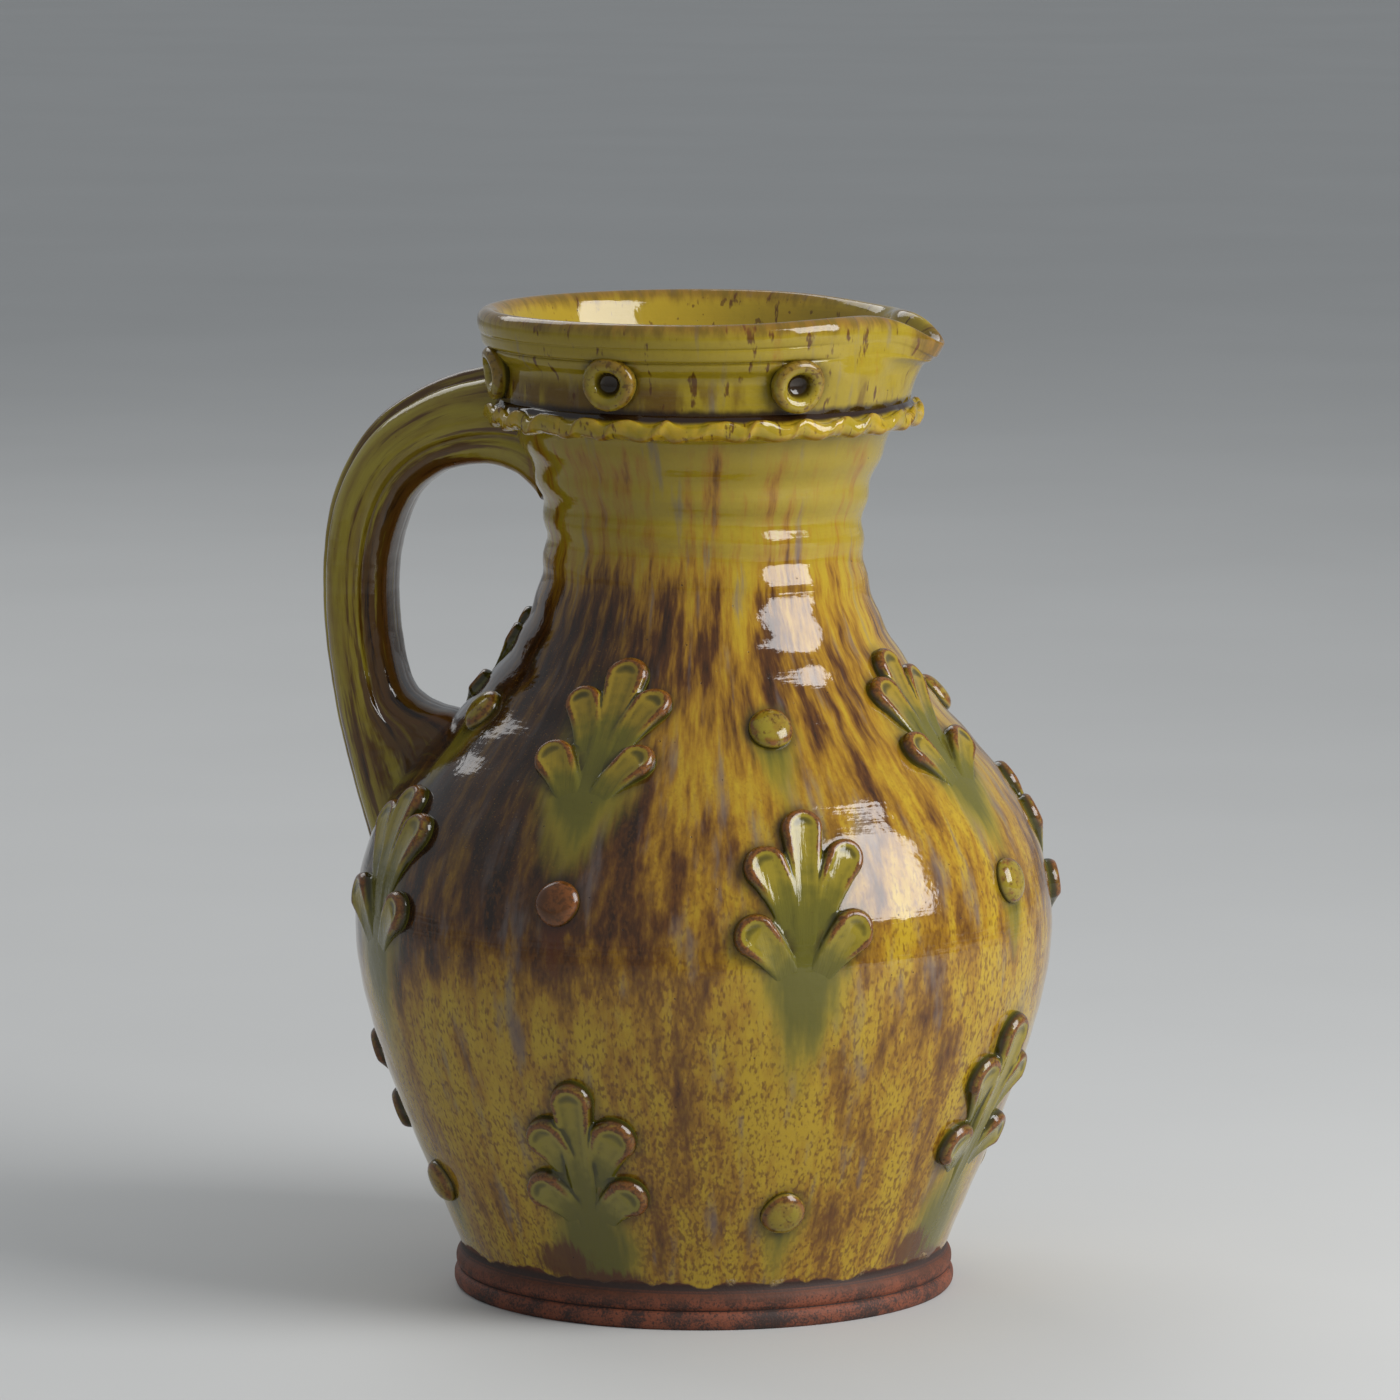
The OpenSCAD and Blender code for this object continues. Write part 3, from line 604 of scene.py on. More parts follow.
def lobe(heel, knee, tip, heel_w, tip_w, heel_h, tip_h):
    """One finger-pressed lobe: high and round at its tip, and dished and lower towards its heel."""
    spine = [(t, 90) for t in (0, 0.12, 0.25, 0.4, 0.55, 0.7, 0.85)]
    spine += [(1, turn) for turn in (90, 75, 60, 45, 30, 15, 4)]

    def edge(t, turn, side, inset):
        s = 1 - t
        x, y = (s * s * a + 2 * s * t * b + t * t * c for a, b, c in zip(heel, knee, tip))
        dx, dy = (s * (b - a) + t * (c - b) for a, b, c in zip(heel, knee, tip))
        size = math.hypot(dx, dy)
        dx, dy = dx / size, dy / size
        half = (heel_w + (tip_w - heel_w) * t ** 1.4) / 2 * (1 - inset)
        ahead, beside = half * math.cos(math.radians(turn)), side * half * math.sin(math.radians(turn))
        return x + ahead * dx + beside * dy, y + ahead * dy - beside * dx

    points = []
    for ring, (inset, share) in enumerate([(0, 0), *LOBE_RINGS]):
        for side, walk in ((-1, spine), (1, spine[::-1])):
            for t, turn in walk:
                high = heel_h + (tip_h - heel_h) * t ** 1.7
                rise = -BURY if ring == 0 else high * (share if high > 0 else 1)
                points.append((*edge(t, turn, side, inset), rise))
    count = 2 * len(spine)
    rings = len(LOBE_RINGS) + 1
    faces = ring_faces(rings, count)
    faces += fill_faces(0, count, True) + fill_faces((rings - 1) * count, count, False)
    return points, [face[::-1] for face in faces]


# Side lobes of a leaf in shares of its length: across and up to the heel, the knee and the tip
SIDE_LOBES = ((0.05, 0.1, 0.1, 0.5, 0.275, 0.81), (0.06, -0.12, 0.12, 0.11, 0.335, 0.3))
# How each row's leaves were pressed: spread of the side lobes, width of a lobe, and how far the side lobes sit lower
LEAF_ROWS = {"upper": (0.86, 13.0, 0), "middle": (1, 13.6, 0), "lower": (0.87, 14.2, 0.11)}


def leaf_blank(name, rng, row, stem, share):
    """Five lobes pressed from one lump, each a little different, melted into each other."""
    length = LEAF_LEN * share
    spread, lobe_w, sink = LEAF_ROWS[row]
    lobe_w *= share
    points, faces = [], []

    def press(part):
        start = len(points)
        points.extend(part[0])
        faces.extend(tuple(start + i for i in face) for face in part[1])

    def near(value, by=0.06):
        return value * rng.uniform(1 - by, 1 + by)

    bend = rng.uniform(-1.2, 1.2)
    press(lobe((0, -0.1 * length), (bend, (stem + length) * 0.5), (bend, stem + near(length, 0.03)), 5 * share,
               near(lobe_w), -0.3 if stem else -0.5, near(LOBE_H) * share))
    for x0, y0, x1, y1, x2, y2 in SIDE_LOBES:
        x1, x2 = x1 * spread, x2 * spread
        y1, y2 = y1 - sink * y1, y2 - sink * (0.2 + y2)
        for side in (-1, 1):
            press(lobe((side * x0 * length, stem + y0 * length), (side * x1 * length, stem + y1 * length),
                       (side * near(x2) * length, stem + near(y2) * length), 6 * share, near(lobe_w), -0.6,
                       near(LOBE_H) * share))
    maker = new_object(name, new_mesh(name, points, faces=faces))
    melt = maker.modifiers.new("melt", "REMESH")
    melt.mode = "VOXEL"
    melt.voxel_size = 0.46 * MM
    soften = maker.modifiers.new("soften", "SMOOTH")
    soften.factor = 0.5
    soften.iterations = 5
    mesh = frozen(maker)
    bpy.data.objects.remove(maker)
    return mesh


def round_blank(name, rng, section, radius, height, uneven):
    """A small lump turned from a section of (radius share, height share), a little uneven as a thumb leaves it."""
    count = 44
    phases = [rng.uniform(0, 2 * math.pi) for _ in range(3)]
    tilt = (rng.uniform(-0.2, 0.2), rng.uniform(-0.2, 0.2))
    points = []
    for out, up in section:
        for i in range(count):
            a = 2 * math.pi * i / count
            wave = sum(math.sin((k + 2) * a + phase) / (k + 2) for k, phase in enumerate(phases))
            r = radius * out * (1 + uneven * wave)
            x, y = r * math.cos(a), r * math.sin(a)
            lift = max(up, 0) * uneven * 6 * (tilt[0] * x + tilt[1] * y) / radius
            points.append((x, y, up * height + lift if up > 0 else -BURY))
    faces = ring_faces(len(section), count)
    first, last = len(points), len(points) + 1
    points += [(0, 0, -BURY), (0, 0, section[-1][1] * height)]
    top = (len(section) - 1) * count
    for i in range(count):
        j = (i + 1) % count
        faces += [(first, j, i), (last, top + i, top + j)]
    return new_mesh(name, points, faces=faces)


BUTTON_SECTION = ((1, 0), (1.01, 0.14), (0.98, 0.32), (0.92, 0.5), (0.82, 0.67), (0.69, 0.82), (0.52, 0.93),
                  (0.33, 0.985), (0.13, 1))
BOSS_SECTION = ((1, 0), (1.02, 0.25), (1.02, 0.5), (1, 0.7), (0.95, 0.85), (0.88, 0.95), (0.79, 1), (0.69, 0.99),
                (0.6, 0.93), (0.53, 0.83), (0.48, 0.68), (0.44, 0.5), (0.4, 0.32), (0.34, 0.17), (0.24, 0.1),
                (0.1, 0.06), (0.03, 0.05))


# Colours of the fired clay and glaze
HONEY = (0.41, 0.265, 0.014, 1)
AMBER = (0.30, 0.15, 0.009, 1)
NECK_YELLOW = (0.31, 0.225, 0.013, 1)
BROWN = (0.085, 0.029, 0.005, 1)
DARK = (0.02, 0.008, 0.003, 1)
SPECK = (0.125, 0.046, 0.006, 1)
BLUE_GREY = (0.15, 0.12, 0.11, 1)
OLIVE = (0.12, 0.105, 0.010, 1)
LEAF_LIGHT = (0.255, 0.195, 0.015, 1)
LEAF_WARM = (0.28, 0.175, 0.013, 1)
# Darker, greyer green of the lower leaves: painted shade
LOW_LEAF_SHADE = (0.19, 0.17, 0.03, 1)
RUN_GREEN = (0.11, 0.098, 0.011, 1)
# Dark green of pooled glaze, also the painted shade on the leaves' steep sides and hollows
POOL_AND_SHADE_GREEN = (0.038, 0.034, 0.006, 1)
RUST = (0.18, 0.058, 0.010, 1)
BARE_BROWN = (0.085, 0.023, 0.006, 1)
CLAY = (0.19, 0.05, 0.02, 1)
TOASTED = (0.03, 0.013, 0.009, 1)
CRUST = (0.36, 0.26, 0.13, 1)
HANDLE_LIGHT = (0.33, 0.26, 0.022, 1)
HANDLE_DEEP = (0.22, 0.145, 0.014, 1)
BUTTON_DEEP = (0.27, 0.19, 0.016, 1)
WORN_RED = (0.12, 0.038, 0.008, 1)
GLAZE_IOR = 1.5
# The way that the dark side of the shoulder faces, away from the window light: darkened partly in its real brown
# glaze and partly in painted shade
SHADE_SIDE_TURN = math.radians(-138)


def new_material(name):
    made = bpy.data.materials.new(name)
    made.use_nodes = True
    return made, Net(made.node_tree)


def noted(net, name, give="Fac"):
    return net.add("ShaderNodeAttribute", give=give, attribute_name=name)


def whereabouts(net):
    """The point in millimetres, its height, and the point carried down the glaze's flow to one radius."""
    point = net.stretch(net.add("ShaderNodeTexCoord", give="Object"), (1000, 1000, 1000))
    x, y, z = net.parts(point)
    run = net.math("MAXIMUM", net.math("SQRT", x * x + y * y), 1)
    return point, z, net.join(x / run * 100, y / run * 100, z)


def fire(made, net, colour, rough, height, depth):
    """Joins the colour, the gloss and the small relief to the material's shader."""
    bump = net.add("ShaderNodeBump", Strength=1.0, Distance=depth * MM, Height=height)
    shader = made.node_tree.nodes["Principled BSDF"]
    for name, value in {"Base Color": colour, "Roughness": rough, "Normal": bump, "IOR": GLAZE_IOR}.items():
        net.feed(shader.inputs[name], value)
    return made


def glaze_skin(net, point):
    """Small relief of a glaze: slow waves, orange peel and a few pinholes."""
    waves = net.noise(point, 7, 2)
    peel = net.noise(point, 1.3, 2)
    holes = net.step(net.add("ShaderNodeTexVoronoi", Vector=point, Scale=0.16), 0.05, 0.03)
    return waves * 0.75 + peel * 0.12 - holes * 0.3, holes


def streaks(net, point, z, flow, brown_and_shade_side, lit_side):
    """Honey glaze that ran in brown fur over the shoulder and broke into specks lower down."""
    broad = net.streaky(flow, 0.4, 30, 2)
    wide = net.streaky(flow, 0.3, 8, 4, 0.55)
    fine = net.streaky(flow, 0.35, 2.3, 3, 0.55)
    shoulder = net.step(z, 90, 150) * net.step(z, 250, 195)
    low = net.step(z, 120, 55)
    neck = net.step(z, 205, 245)
    top = net.step(z, 258, 268)
    # More brown fur on the side away from the window, partly real glaze and partly painted shade, and less on the lit
    # side, partly as painted light
    fur = wide * 0.7 + fine * 0.3 + (broad - 0.5) * 0.45 + shoulder * 0.035 + brown_and_shade_side * 0.2
    fur = fur - neck * 0.12 - top * 0.12 - low * 0.05 - lit_side * 0.05
    light = net.blend(neck, HONEY, NECK_YELLOW)
    colour = net.coat(light, AMBER, fur, 0.36, 0.55)
    colour = net.coat(colour, BROWN, fur, 0.48, 0.67)
    colour = net.coat(colour, DARK, fur, 0.6, 0.8)
    bands = net.noise(net.stretch(point, (0.08, 0.08, 1)), 6, 2)
    specks = net.streaky(point, 0.45, 1.0, 1, 0.5)
    specks = specks + low * 0.03 + (broad - 0.5) * 0.2 + (bands - 0.5) * 0.25
    grainy = net.step(z, 190, 100) * 0.7 + 0.08
    colour = net.coat(colour, SPECK, specks, 0.46, 0.74, grainy)
    milky = net.streaky(net.vector("ADD", flow, (37, 11, 5)), 0.28, 8.5, 4, 0.55)
    zone = net.step(z, 40, 120) * net.step(z, 215, 175)
    milk = net.step(milky + zone * 0.05, 0.57, 0.76) * 0.65
    return net.blend(milk, colour, BLUE_GREY), milk


def pot_glaze():
    """Streaked honey glaze, stained and worn about the rim, down to an uneven line over the bare foot."""
    made, net = new_material("honey glaze over red clay")
    point, z, flow = whereabouts(net)
    fx, fy, _ = net.parts(flow)
    side = fx * (math.cos(SHADE_SIDE_TURN) / 100) + fy * (math.sin(SHADE_SIDE_TURN) / 100)
    brown_and_shade_side = net.step(side, 0.5, 0.95) * net.step(z, 95, 125) * net.step(z, 235, 195)
    # The dark patch on that side of the shoulder: partly real dark brown glaze and partly painted shade
    shade = net.step(side + net.noise(flow, 24, 2) * 0.5 - 0.25, 0.62, 1.0)
    shade = shade * net.step(z, 120, 150) * net.step(z, 230, 190)
    colour, milk = streaks(net, point, z, flow, brown_and_shade_side, net.step(side, 0.1, -0.7))
    sparkle = net.step(net.noise(point, 0.5, 1), 0.68, 0.74)
    colour = net.blend(shade * 0.55, colour, net.blend(sparkle, DARK, AMBER))
    inside = noted(net, "inside")
    plain = net.blend(net.noise(point, 18), NECK_YELLOW, HONEY)
    dots = net.step(net.streaky(point, 0.6, 2.4, 2), 0.66, 0.72)
    colour = net.blend(inside, colour, net.blend(dots * 0.7, plain, BROWN))
    # Brown stains and short drips on the collar, spread further over its shaded side as painted shade, and rusty
    # edges at the rim and the lip
    upper = net.step(z, 266, 272)
    stain_and_shade = net.streaky(flow, 0.6, 11, 3, 0.55) + net.step(side, 0.2, 0.95) * 0.25
    colour = net.coat(colour, BROWN, stain_and_shade, 0.5, 0.75, net.step(z + stain_and_shade * 7, 290, 284) * upper * 0.75)
    drips = net.step(net.streaky(flow, 0.55, 5, 3, 0.55), 0.6, 0.68) * upper
    colour = net.blend(drips * 0.9, colour, BROWN)
    proud = noted(net, "proud")
    patchy = net.streaky(flow, 0.5, 5, 4, 0.6)
    crest = net.step(z + patchy * 7, 298.5, 303) * 0.7
    thin = net.math("MAXIMUM", net.step(proud + patchy - 0.5, 1.0, 2.2) * upper, crest)
    lip_tip = net.step(net.parts(point)[0] + patchy * 16, 71, 81) * upper
    thin = net.math("MAXIMUM", thin, lip_tip * 0.8)
    colour = net.blend(thin * 0.9, colour, net.coat(RUST, BROWN, patchy, 0.42, 0.6))
    gutter = net.step(z + patchy * 2, 276.2, 274) * net.step(z, 266.5, 268.5) * (1 - inside)
    colour = net.blend(gutter * 0.95, colour, DARK)
    # Green that ran from the leaves and buttons, and brown patches where the glaze came off thin
    run = noted(net, "copper")
    fray = net.streaky(flow, 0.2, 3) - 0.5
    colour = net.coat(colour, LEAF_LIGHT, run + fray * 0.6, 0.05, 0.7, 0.9)
    colour = net.coat(colour, RUN_GREEN, run + fray * 0.9, 0.35, 0.95)
    bare = noted(net, "bare")
    ragged = net.streaky(flow, 0.3, 3, 4, 0.65)
    colour = net.coat(colour, BARE_BROWN, bare + ragged * 1.2 - 0.6, 0.35, 0.75, 0.9)
    # Dark halo round the luted pieces, from the pool note: partly pooled glaze and partly painted contact shadow
    colour = net.blend(noted(net, "pool") * 0.75, colour, DARK)
    # Bare foot below an uneven glaze line
    line = net.streaky(flow, 0, 16, 3) * 9 + 9.6
    glazed = net.step(z - line, -0.4, 0.5)
    grain = net.noise(point, 0.7, 3, 0.7)
    smoke = net.streaky(flow, 1.5, 14, 5, 0.65)
    clay = net.coat(CLAY, TOASTED, smoke + grain * 0.7 - 0.35, 0.38, 0.66)
    clay = net.coat(clay, TOASTED, net.noise(point, 0.9, 2), 0.56, 0.66, 0.85)
    clay = net.coat(clay, BARE_BROWN, z + smoke * 5, 9.5, 13, 0.7)
    clay = net.coat(clay, TOASTED, proud, -0.1, -0.7)
    edge = net.step(z - line, -1.6, -0.4) * net.step(z - line, 1.6, 0.6)
    crust = edge * net.step(net.noise(flow, 14, 2), 0.58, 0.66) * net.step(grain, 0.4, 0.55)
    colour = net.blend(glazed, clay, colour)
    colour = net.blend(crust, colour, CRUST)
    skin, holes = glaze_skin(net, point)
    colour = net.blend(holes * glazed * 0.8, colour, DARK)
    rough = (1 - glazed) * 0.62 + milk * 0.06 + crust * 0.5 + 0.07
    lines = net.noise(net.stretch(point, (0.02, 0.02, 1)), 1.4, 2)
    height = skin * glazed + lines * 0.22 + grain * (1 - glazed) * 0.6 + crust * 0.6
    return fire(made, net, colour, rough, height, 0.25)


def frill_glaze():
    """Honey glaze on the cordon: spotted brown, rusty on its crests, with a dark pool behind its edge."""
    made, net = new_material("frill glaze")
    point, z, flow = whereabouts(net)
    x, y, _ = net.parts(point)
    out = net.math("SQRT", x * x + y * y) - COLLAR_R
    cloud = net.noise(flow, 9, 4, 0.6)
    colour = net.coat(HONEY, NECK_YELLOW, cloud, 0.35, 0.65)
    spots = net.streaky(flow, 0.7, 3.6, 3, 0.6)
    colour = net.coat(colour, BROWN, spots, 0.57, 0.66, 0.85)
    proud = noted(net, "proud")
    grit = net.noise(point, 1.1, 3, 0.65)
    thin = net.step(proud + grit * 0.5 - 0.25, 0.3, 0.7)
    colour = net.blend(thin * 0.5, colour, RUST)
    colour = net.coat(colour, BROWN, proud, -0.4, -1.4, 0.7)
    pool = net.step(out, 2.4, 1.2) * net.step(z, 268.4, 269.4)
    colour = net.blend(pool, colour, DARK)
    skin, _ = glaze_skin(net, point)
    return fire(made, net, colour, 0.08, skin, 0.2)


def lump_glaze(name, radius, light, deep, cap, pit=0):
    """Glaze on a button or a ring: gathered in a dark pool round its foot, worn rusty on its crown, and painted dark
    in its pit as the hole's shade.
    """
    made, net = new_material(name)
    point, _, _ = whereabouts(net)
    across, up, out = net.parts(net.stretch(noted(net, "design", "Vector"), (1000 / radius, 1000 / radius, 1000)))
    off = net.math("SQRT", across * across + up * up)
    cloud = net.noise(point, 7, 3)
    grit = net.noise(point, 1.4, 3, 0.6)
    colour = net.coat(light, deep, cloud + grit * 0.3 - 0.15, 0.35, 0.65)
    worn = net.noise(point, 4, 4, 0.6) + net.step(across + up, -0.3, 1.2) * 0.16
    rim = net.step(off, 0.62, 0.86) * net.step(out, 0.9, 1.8)
    thin = net.math("MAXIMUM", rim * net.step(worn, 0.38, 0.54), net.step(worn, 0.46, 0.6) * cap)
    colour = net.blend(thin * (0.5 if pit else 0.9), colour, net.coat(RUST, BROWN, grit, 0.45, 0.6))
    colour = net.coat(colour, BROWN, grit + worn * 0.3 - 0.15, 0.58, 0.68, 0.7)
    colour = net.coat(colour, POOL_AND_SHADE_GREEN, out, 1.3, 0.3, 0.9)
    if pit:
        # Painted shade: the ring's pit is darkened towards its middle
        colour = net.coat(colour, DARK, off, pit, pit - 0.14, 0.9)
    skin, _ = glaze_skin(net, point)
    return fire(made, net, colour, thin * 0.1 + 0.08, skin, 0.2)


def leaf_glaze():
    """Olive glaze on a leaf: pale on the raised tips, painted dark on the steep sides and in the hollows as shade
    over pooled glaze, with a rusty line along the rims.
    """
    made, net = new_material("olive leaf glaze")
    point, z, _ = whereabouts(net)
    across, up, out = net.parts(net.stretch(noted(net, "design", "Vector"), (1000, 1000, 1000)))
    fan = net.math("ARCTAN2", across, up + 22)
    drag = net.noise(net.join(fan * 60, up * 0.08, 0), 1.6, 3, 0.6)
    cloud = net.noise(point, 6, 3)
    pale = net.step(out + cloud * 2.4 + drag * 1.2 - 1.8, 0.7, 2.3)
    light = net.coat(LEAF_LIGHT, LEAF_WARM, z, 145, 190, 0.65)
    # The lower leaves painted darker and greyer, as shade
    light = net.coat(light, LOW_LEAF_SHADE, z, 85, 35, 0.6)
    colour = net.blend(pale, OLIVE, light)
    proud = noted(net, "proud")
    steep = net.step(noted(net, "facing"), 0.8, 0.35)
    grit = net.noise(point, 1.0, 3, 0.65)
    # Painted shade over pooled glaze: dark green in the hollows between the lobes and darker still on the steep sides
    colour = net.coat(colour, POOL_AND_SHADE_GREEN, proud, -0.05, -0.5, 0.9)
    colour = net.blend(steep * 0.92, colour, net.coat(POOL_AND_SHADE_GREEN, DARK, out, 0.8, 2.2))
    broken = net.noise(point, 5, 3, 0.6)
    colour = net.coat(colour, RUN_GREEN, out + cloud * 0.6, 1.1, 0.3)
    thin = net.step(proud + grit * 1.2 + broken * 1.2 - 1.2, 0.4, 1.0) * net.step(out, 1.4, 2.5)
    colour = net.blend(thin * 0.95, colour, net.coat(RUST, BROWN, grit, 0.45, 0.6))
    colour = net.coat(colour, BROWN, grit, 0.68, 0.73, 0.6)
    skin, _ = glaze_skin(net, point)
    return fire(made, net, colour, thin * 0.1 + 0.07, skin + drag * 0.6, 0.2)


def handle_glaze():
    """Honey and olive glaze along the strap, brown in its grooves and towards its tail."""
    made, net = new_material("handle glaze")
    point, _, _ = whereabouts(net)
    across, out, along = net.parts(noted(net, "strap", "Vector"))
    strap = net.join(across * 16, out * 14, along * 30)
    cloud = net.noise(strap, 5, 4, 0.6)
    colour = net.coat(HANDLE_LIGHT, HANDLE_DEEP, cloud, 0.35, 0.7)
    fur = net.streaky(strap, 0.5, 3.2, 4, 0.6)
    tail = net.step(along, 0.35, 0.85)
    under = net.step(out, -0.3, -0.6) * net.step(along, 0.03, 0.2)
    back = net.step(abs(across), 0.5, 0.3) * net.step(out, 0.2, 0.6) * net.step(along, 0.5, 0.2)
    colour = net.coat(colour, BROWN, fur + tail * 0.1 + under * 0.22 + back * 0.16, 0.54, 0.68, 0.9)
    colour = net.coat(colour, DARK, fur + tail * 0.1 + under * 0.12, 0.68, 0.83)
    proud = noted(net, "proud")
    colour = net.coat(colour, BROWN, proud, -0.15, -0.8, 0.8)
    grit = net.noise(point, 1.2, 3, 0.65)
    thin = net.step(proud + grit * 0.5 - 0.25, 0.5, 1.1)
    colour = net.blend(thin * 0.6, colour, RUST)
    colour = net.coat(colour, BROWN, grit, 0.7, 0.74, 0.7)
    skin, _ = glaze_skin(net, point)
    return fire(made, net, colour, thin * 0.1 + 0.08, skin, 0.25)


# Glaze runs on the pot

# How far the pooled glaze and the painted contact shadow reach from a piece's side
POOL_AND_SHADOW_REACH = 1.7
# Patches under each lower leaf where the glaze came off thin: turn from the leaf, height, half width and half rise
THIN_PATCHES = ((-0.15, 19, 12, 8), (0.02, 13, 17, 5))


def pooled_and_shadowed(places, pieces):
    """How much glaze gathered at each place against the steep sides of the luted pieces, with the contact shadow
    there painted in as well.
    """
    sides = []
    for piece in pieces:
        count = len(piece.data.vertices)
        design, facing = np.empty(count * 3), np.empty(count)
        piece.data.attributes["design"].data.foreach_get("vector", design)
        piece.data.attributes["facing"].data.foreach_get("value", facing)
        height = design.reshape(-1, 3)[:, 2] / MM
        sides.append(points_of(piece.data)[(height > 0.3) & (height < 1.2) & (facing < 0.6)][::2])
    sides = np.concatenate(sides)
    tree = KDTree(len(sides))
    for i, spot in enumerate(sides):
        tree.insert(spot, i)
    tree.balance()
    off = np.array([tree.find(place)[2] for place in places]) / MM
    return np.exp(-((off / POOL_AND_SHADOW_REACH) ** 2))


def note_runs(pot, leaves, buttons, pieces):
    """Notes on the pot's points how much green ran down below each leaf and button, and where glaze came off thin."""
    places = points_of(pot.data)
    x, y, z = places.T / MM
    angles = np.arctan2(y, x)
    copper, bare = np.zeros(len(x)), np.zeros(len(x))

    def aside(angle):
        return ((angles - angle + math.pi) % (2 * math.pi) - math.pi) * np.hypot(x, y)

    def below(angle, base, half, drop, rise):
        """A run that starts over a place and narrows on its way down."""
        down = (base - z) / drop
        inside = np.clip((z - base) / rise, 0, 1)
        width = half * np.clip(1.05 - 0.6 * np.clip(down, 0, 1), 0.2, 1)
        return np.exp(-((aside(angle) / width) ** 2)) * np.clip(1.1 - np.clip(down, 0, 2), 0, 1) * (1 - inside)

    for angle, base, share in leaves:
        run = below(angle, base + 6, half=13 * share, drop=30 if base > BELLY_Z else 46, rise=32)
        copper = np.maximum(copper, 1.3 * run)
        for turn, level, half, rise in THIN_PATCHES if base == LEAF_Z["lower"] else ():
            patch = np.exp(-((aside(angle + turn) / half) ** 2) - ((z - level) / rise) ** 2)
            bare = np.maximum(bare, patch)
    for angle, base, worn in buttons:
        if worn:
            bare = np.maximum(bare, 0.8 * below(angle, base - 4, half=7, drop=40, rise=4))
        else:
            copper = np.maximum(copper, 0.9 * below(angle, base, half=7, drop=30, rise=8))
    # The pool note holds the pooled glaze and the painted contact shadow round the luted pieces
    for name, values in (("copper", copper), ("bare", bare), ("pool", pooled_and_shadowed(places, pieces))):
        pot.data.attributes.new(name, "FLOAT", "POINT").data.foreach_set("value", values.astype(np.float32))


# The pieces

def dress(piece, slot, *nodes):
    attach(piece, "root")
    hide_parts(*nodes)


# Columns of the meshes that are made from a section
POT_COLUMNS = 321
HANDLE_COLUMNS = 221
FRILL_COLUMNS = 901


def make_pot():
    rows = pot_rows()
    return shape("thrown_pot", line_mesh("half section", rows, POT_NOTES), throwing_tree(), {
        "Columns": POT_COLUMNS, "Rows": len(rows), "Lip turn": LIP_TURN, "Pinch turn": PINCH_TURN,
        "Lip rise": LIP_RISE, "Lip sag": LIP_SAG, "Ring pitch": RING_PITCH * MM, "Wobble": WOBBLE * MM,
        "Material": pot_glaze()})


HANDLE_W = 30
HANDLE_T = 23.5
# Bends of the handle's middle, over from the collar and down to the shoulder: run and height
HANDLE_OVER = ((-47, 267), (-84, 267), (-108.2, 256), (-108.2, 212))
HANDLE_DOWN = ((-108.2, 212), (-108.2, 190), (-104, 168), (-90, 128))
# Half of the strap's section from its back round to its inside, in shares of half the width and half the thickness
STRAP_HALF = ((0, 1), (0.1, 1), (0.2, 0.93), (0.28, 0.78), (0.42, 0.78), (0.66, 0.72), (0.88, 0.48), (1, 0.08),
              (0.97, -0.22), (0.86, -0.36), (0.84, -0.6), (0.6, -0.92), (0.2, -1), (0, -1))
# Swell of the handle across, on its outside and on its inside, for shares of its run from the collar down
HANDLE_SWELL = (
    ((0, 1.08), (0.2, 1), (0.75, 1), (1, 1.08)),
    ((0, 1.3), (0.1, 1.26), (0.2, 1.16), (0.35, 1.04), (0.5, 1), (0.8, 1), (1, 1.1)),
    ((0, 2.75), (0.035, 1.8), (0.07, 1.42), (0.11, 1.24), (0.2, 1.1), (0.35, 1), (0.7, 1), (0.735, 1.08),
     (0.76, 1.28), (0.785, 1.7), (0.81, 2.3), (0.86, 2.8), (1, 2.8)),
)


def press_roots(handle):
    """Presses the handle's ends flat within the pot's wall, so that none comes through to the inside."""
    places = points_of(handle.data)
    run = np.hypot(places[:, 0], places[:, 1])
    rows = np.array(OUTER) * MM
    least = np.interp(places[:, 2], rows[:, 1], rows[:, 0]) - WALL / 2 * MM
    places[:, :2] *= np.maximum(1, least / run)[:, None]
    handle.data.vertices.foreach_set("co", places.ravel())
    handle.data.update()


def length_share(share):
    """Carries a share of the handle's bends to a share of their length."""
    bend, t, before = (HANDLE_OVER, 2 * share, 0) if share < 0.5 else (HANDLE_DOWN, 2 * share - 1, 0.5)
    lengths = lengths_along([bezier(bend, i / 200) for i in range(201)])
    return float(np.interp(t * 200, range(201), lengths)) / lengths[-1] / 2 + before


def make_handle():
    half = smooth_rows(STRAP_HALF, 4)
    section = half + [(-x, y) for x, y in half[-2::-1]]
    swell = [[(length_share(share), value) for share, value in rows] for rows in HANDLE_SWELL]
    bends = {name: Vector((x * MM, 0, z * MM)) for name, (x, z) in zip(BEND_NAMES, HANDLE_OVER + HANDLE_DOWN[1:])}
    made = shape("pulled_handle", line_mesh("strap section", section), pulling_tree(swell), {
        **bends, "Columns": HANDLE_COLUMNS, "Rows": len(section), "Width": HANDLE_W * MM, "Thickness": HANDLE_T * MM,
        "Material": handle_glaze()})
    press_roots(made)
    return made


FRILL_WAVES = 30.0
FRILL_WAVE = 1.25
# Half of the opening that the frill leaves for the handle
FRILL_OPENING = 15.5
# How far in from the collar the frill's ends close
FRILL_SEAT = 4
# Section of the frill from its upper seam round its edge to its lower seam: out of the collar, height and wave
FRILL_EDGE = (
    (-1.5, 273.4, 0), (0.3, 272.6, 0.05), (1.4, 271.2, 0.2), (2.3, 270.5, 0.5), (3.1, 270.7, 0.9), (3.8, 270.4, 1),
    (4.3, 269.5, 1), (4.4, 268.1, 1), (4.1, 266.8, 0.95), (3.1, 265.7, 0.75), (1, 265.1, 0.4), (-1.4, 264.9, 0.15),
    (-3.8, 264.7, 0), (-6.4, 264.7, 0), (-4.6, 269, 0), (-1.5, 273.4, 0),
)


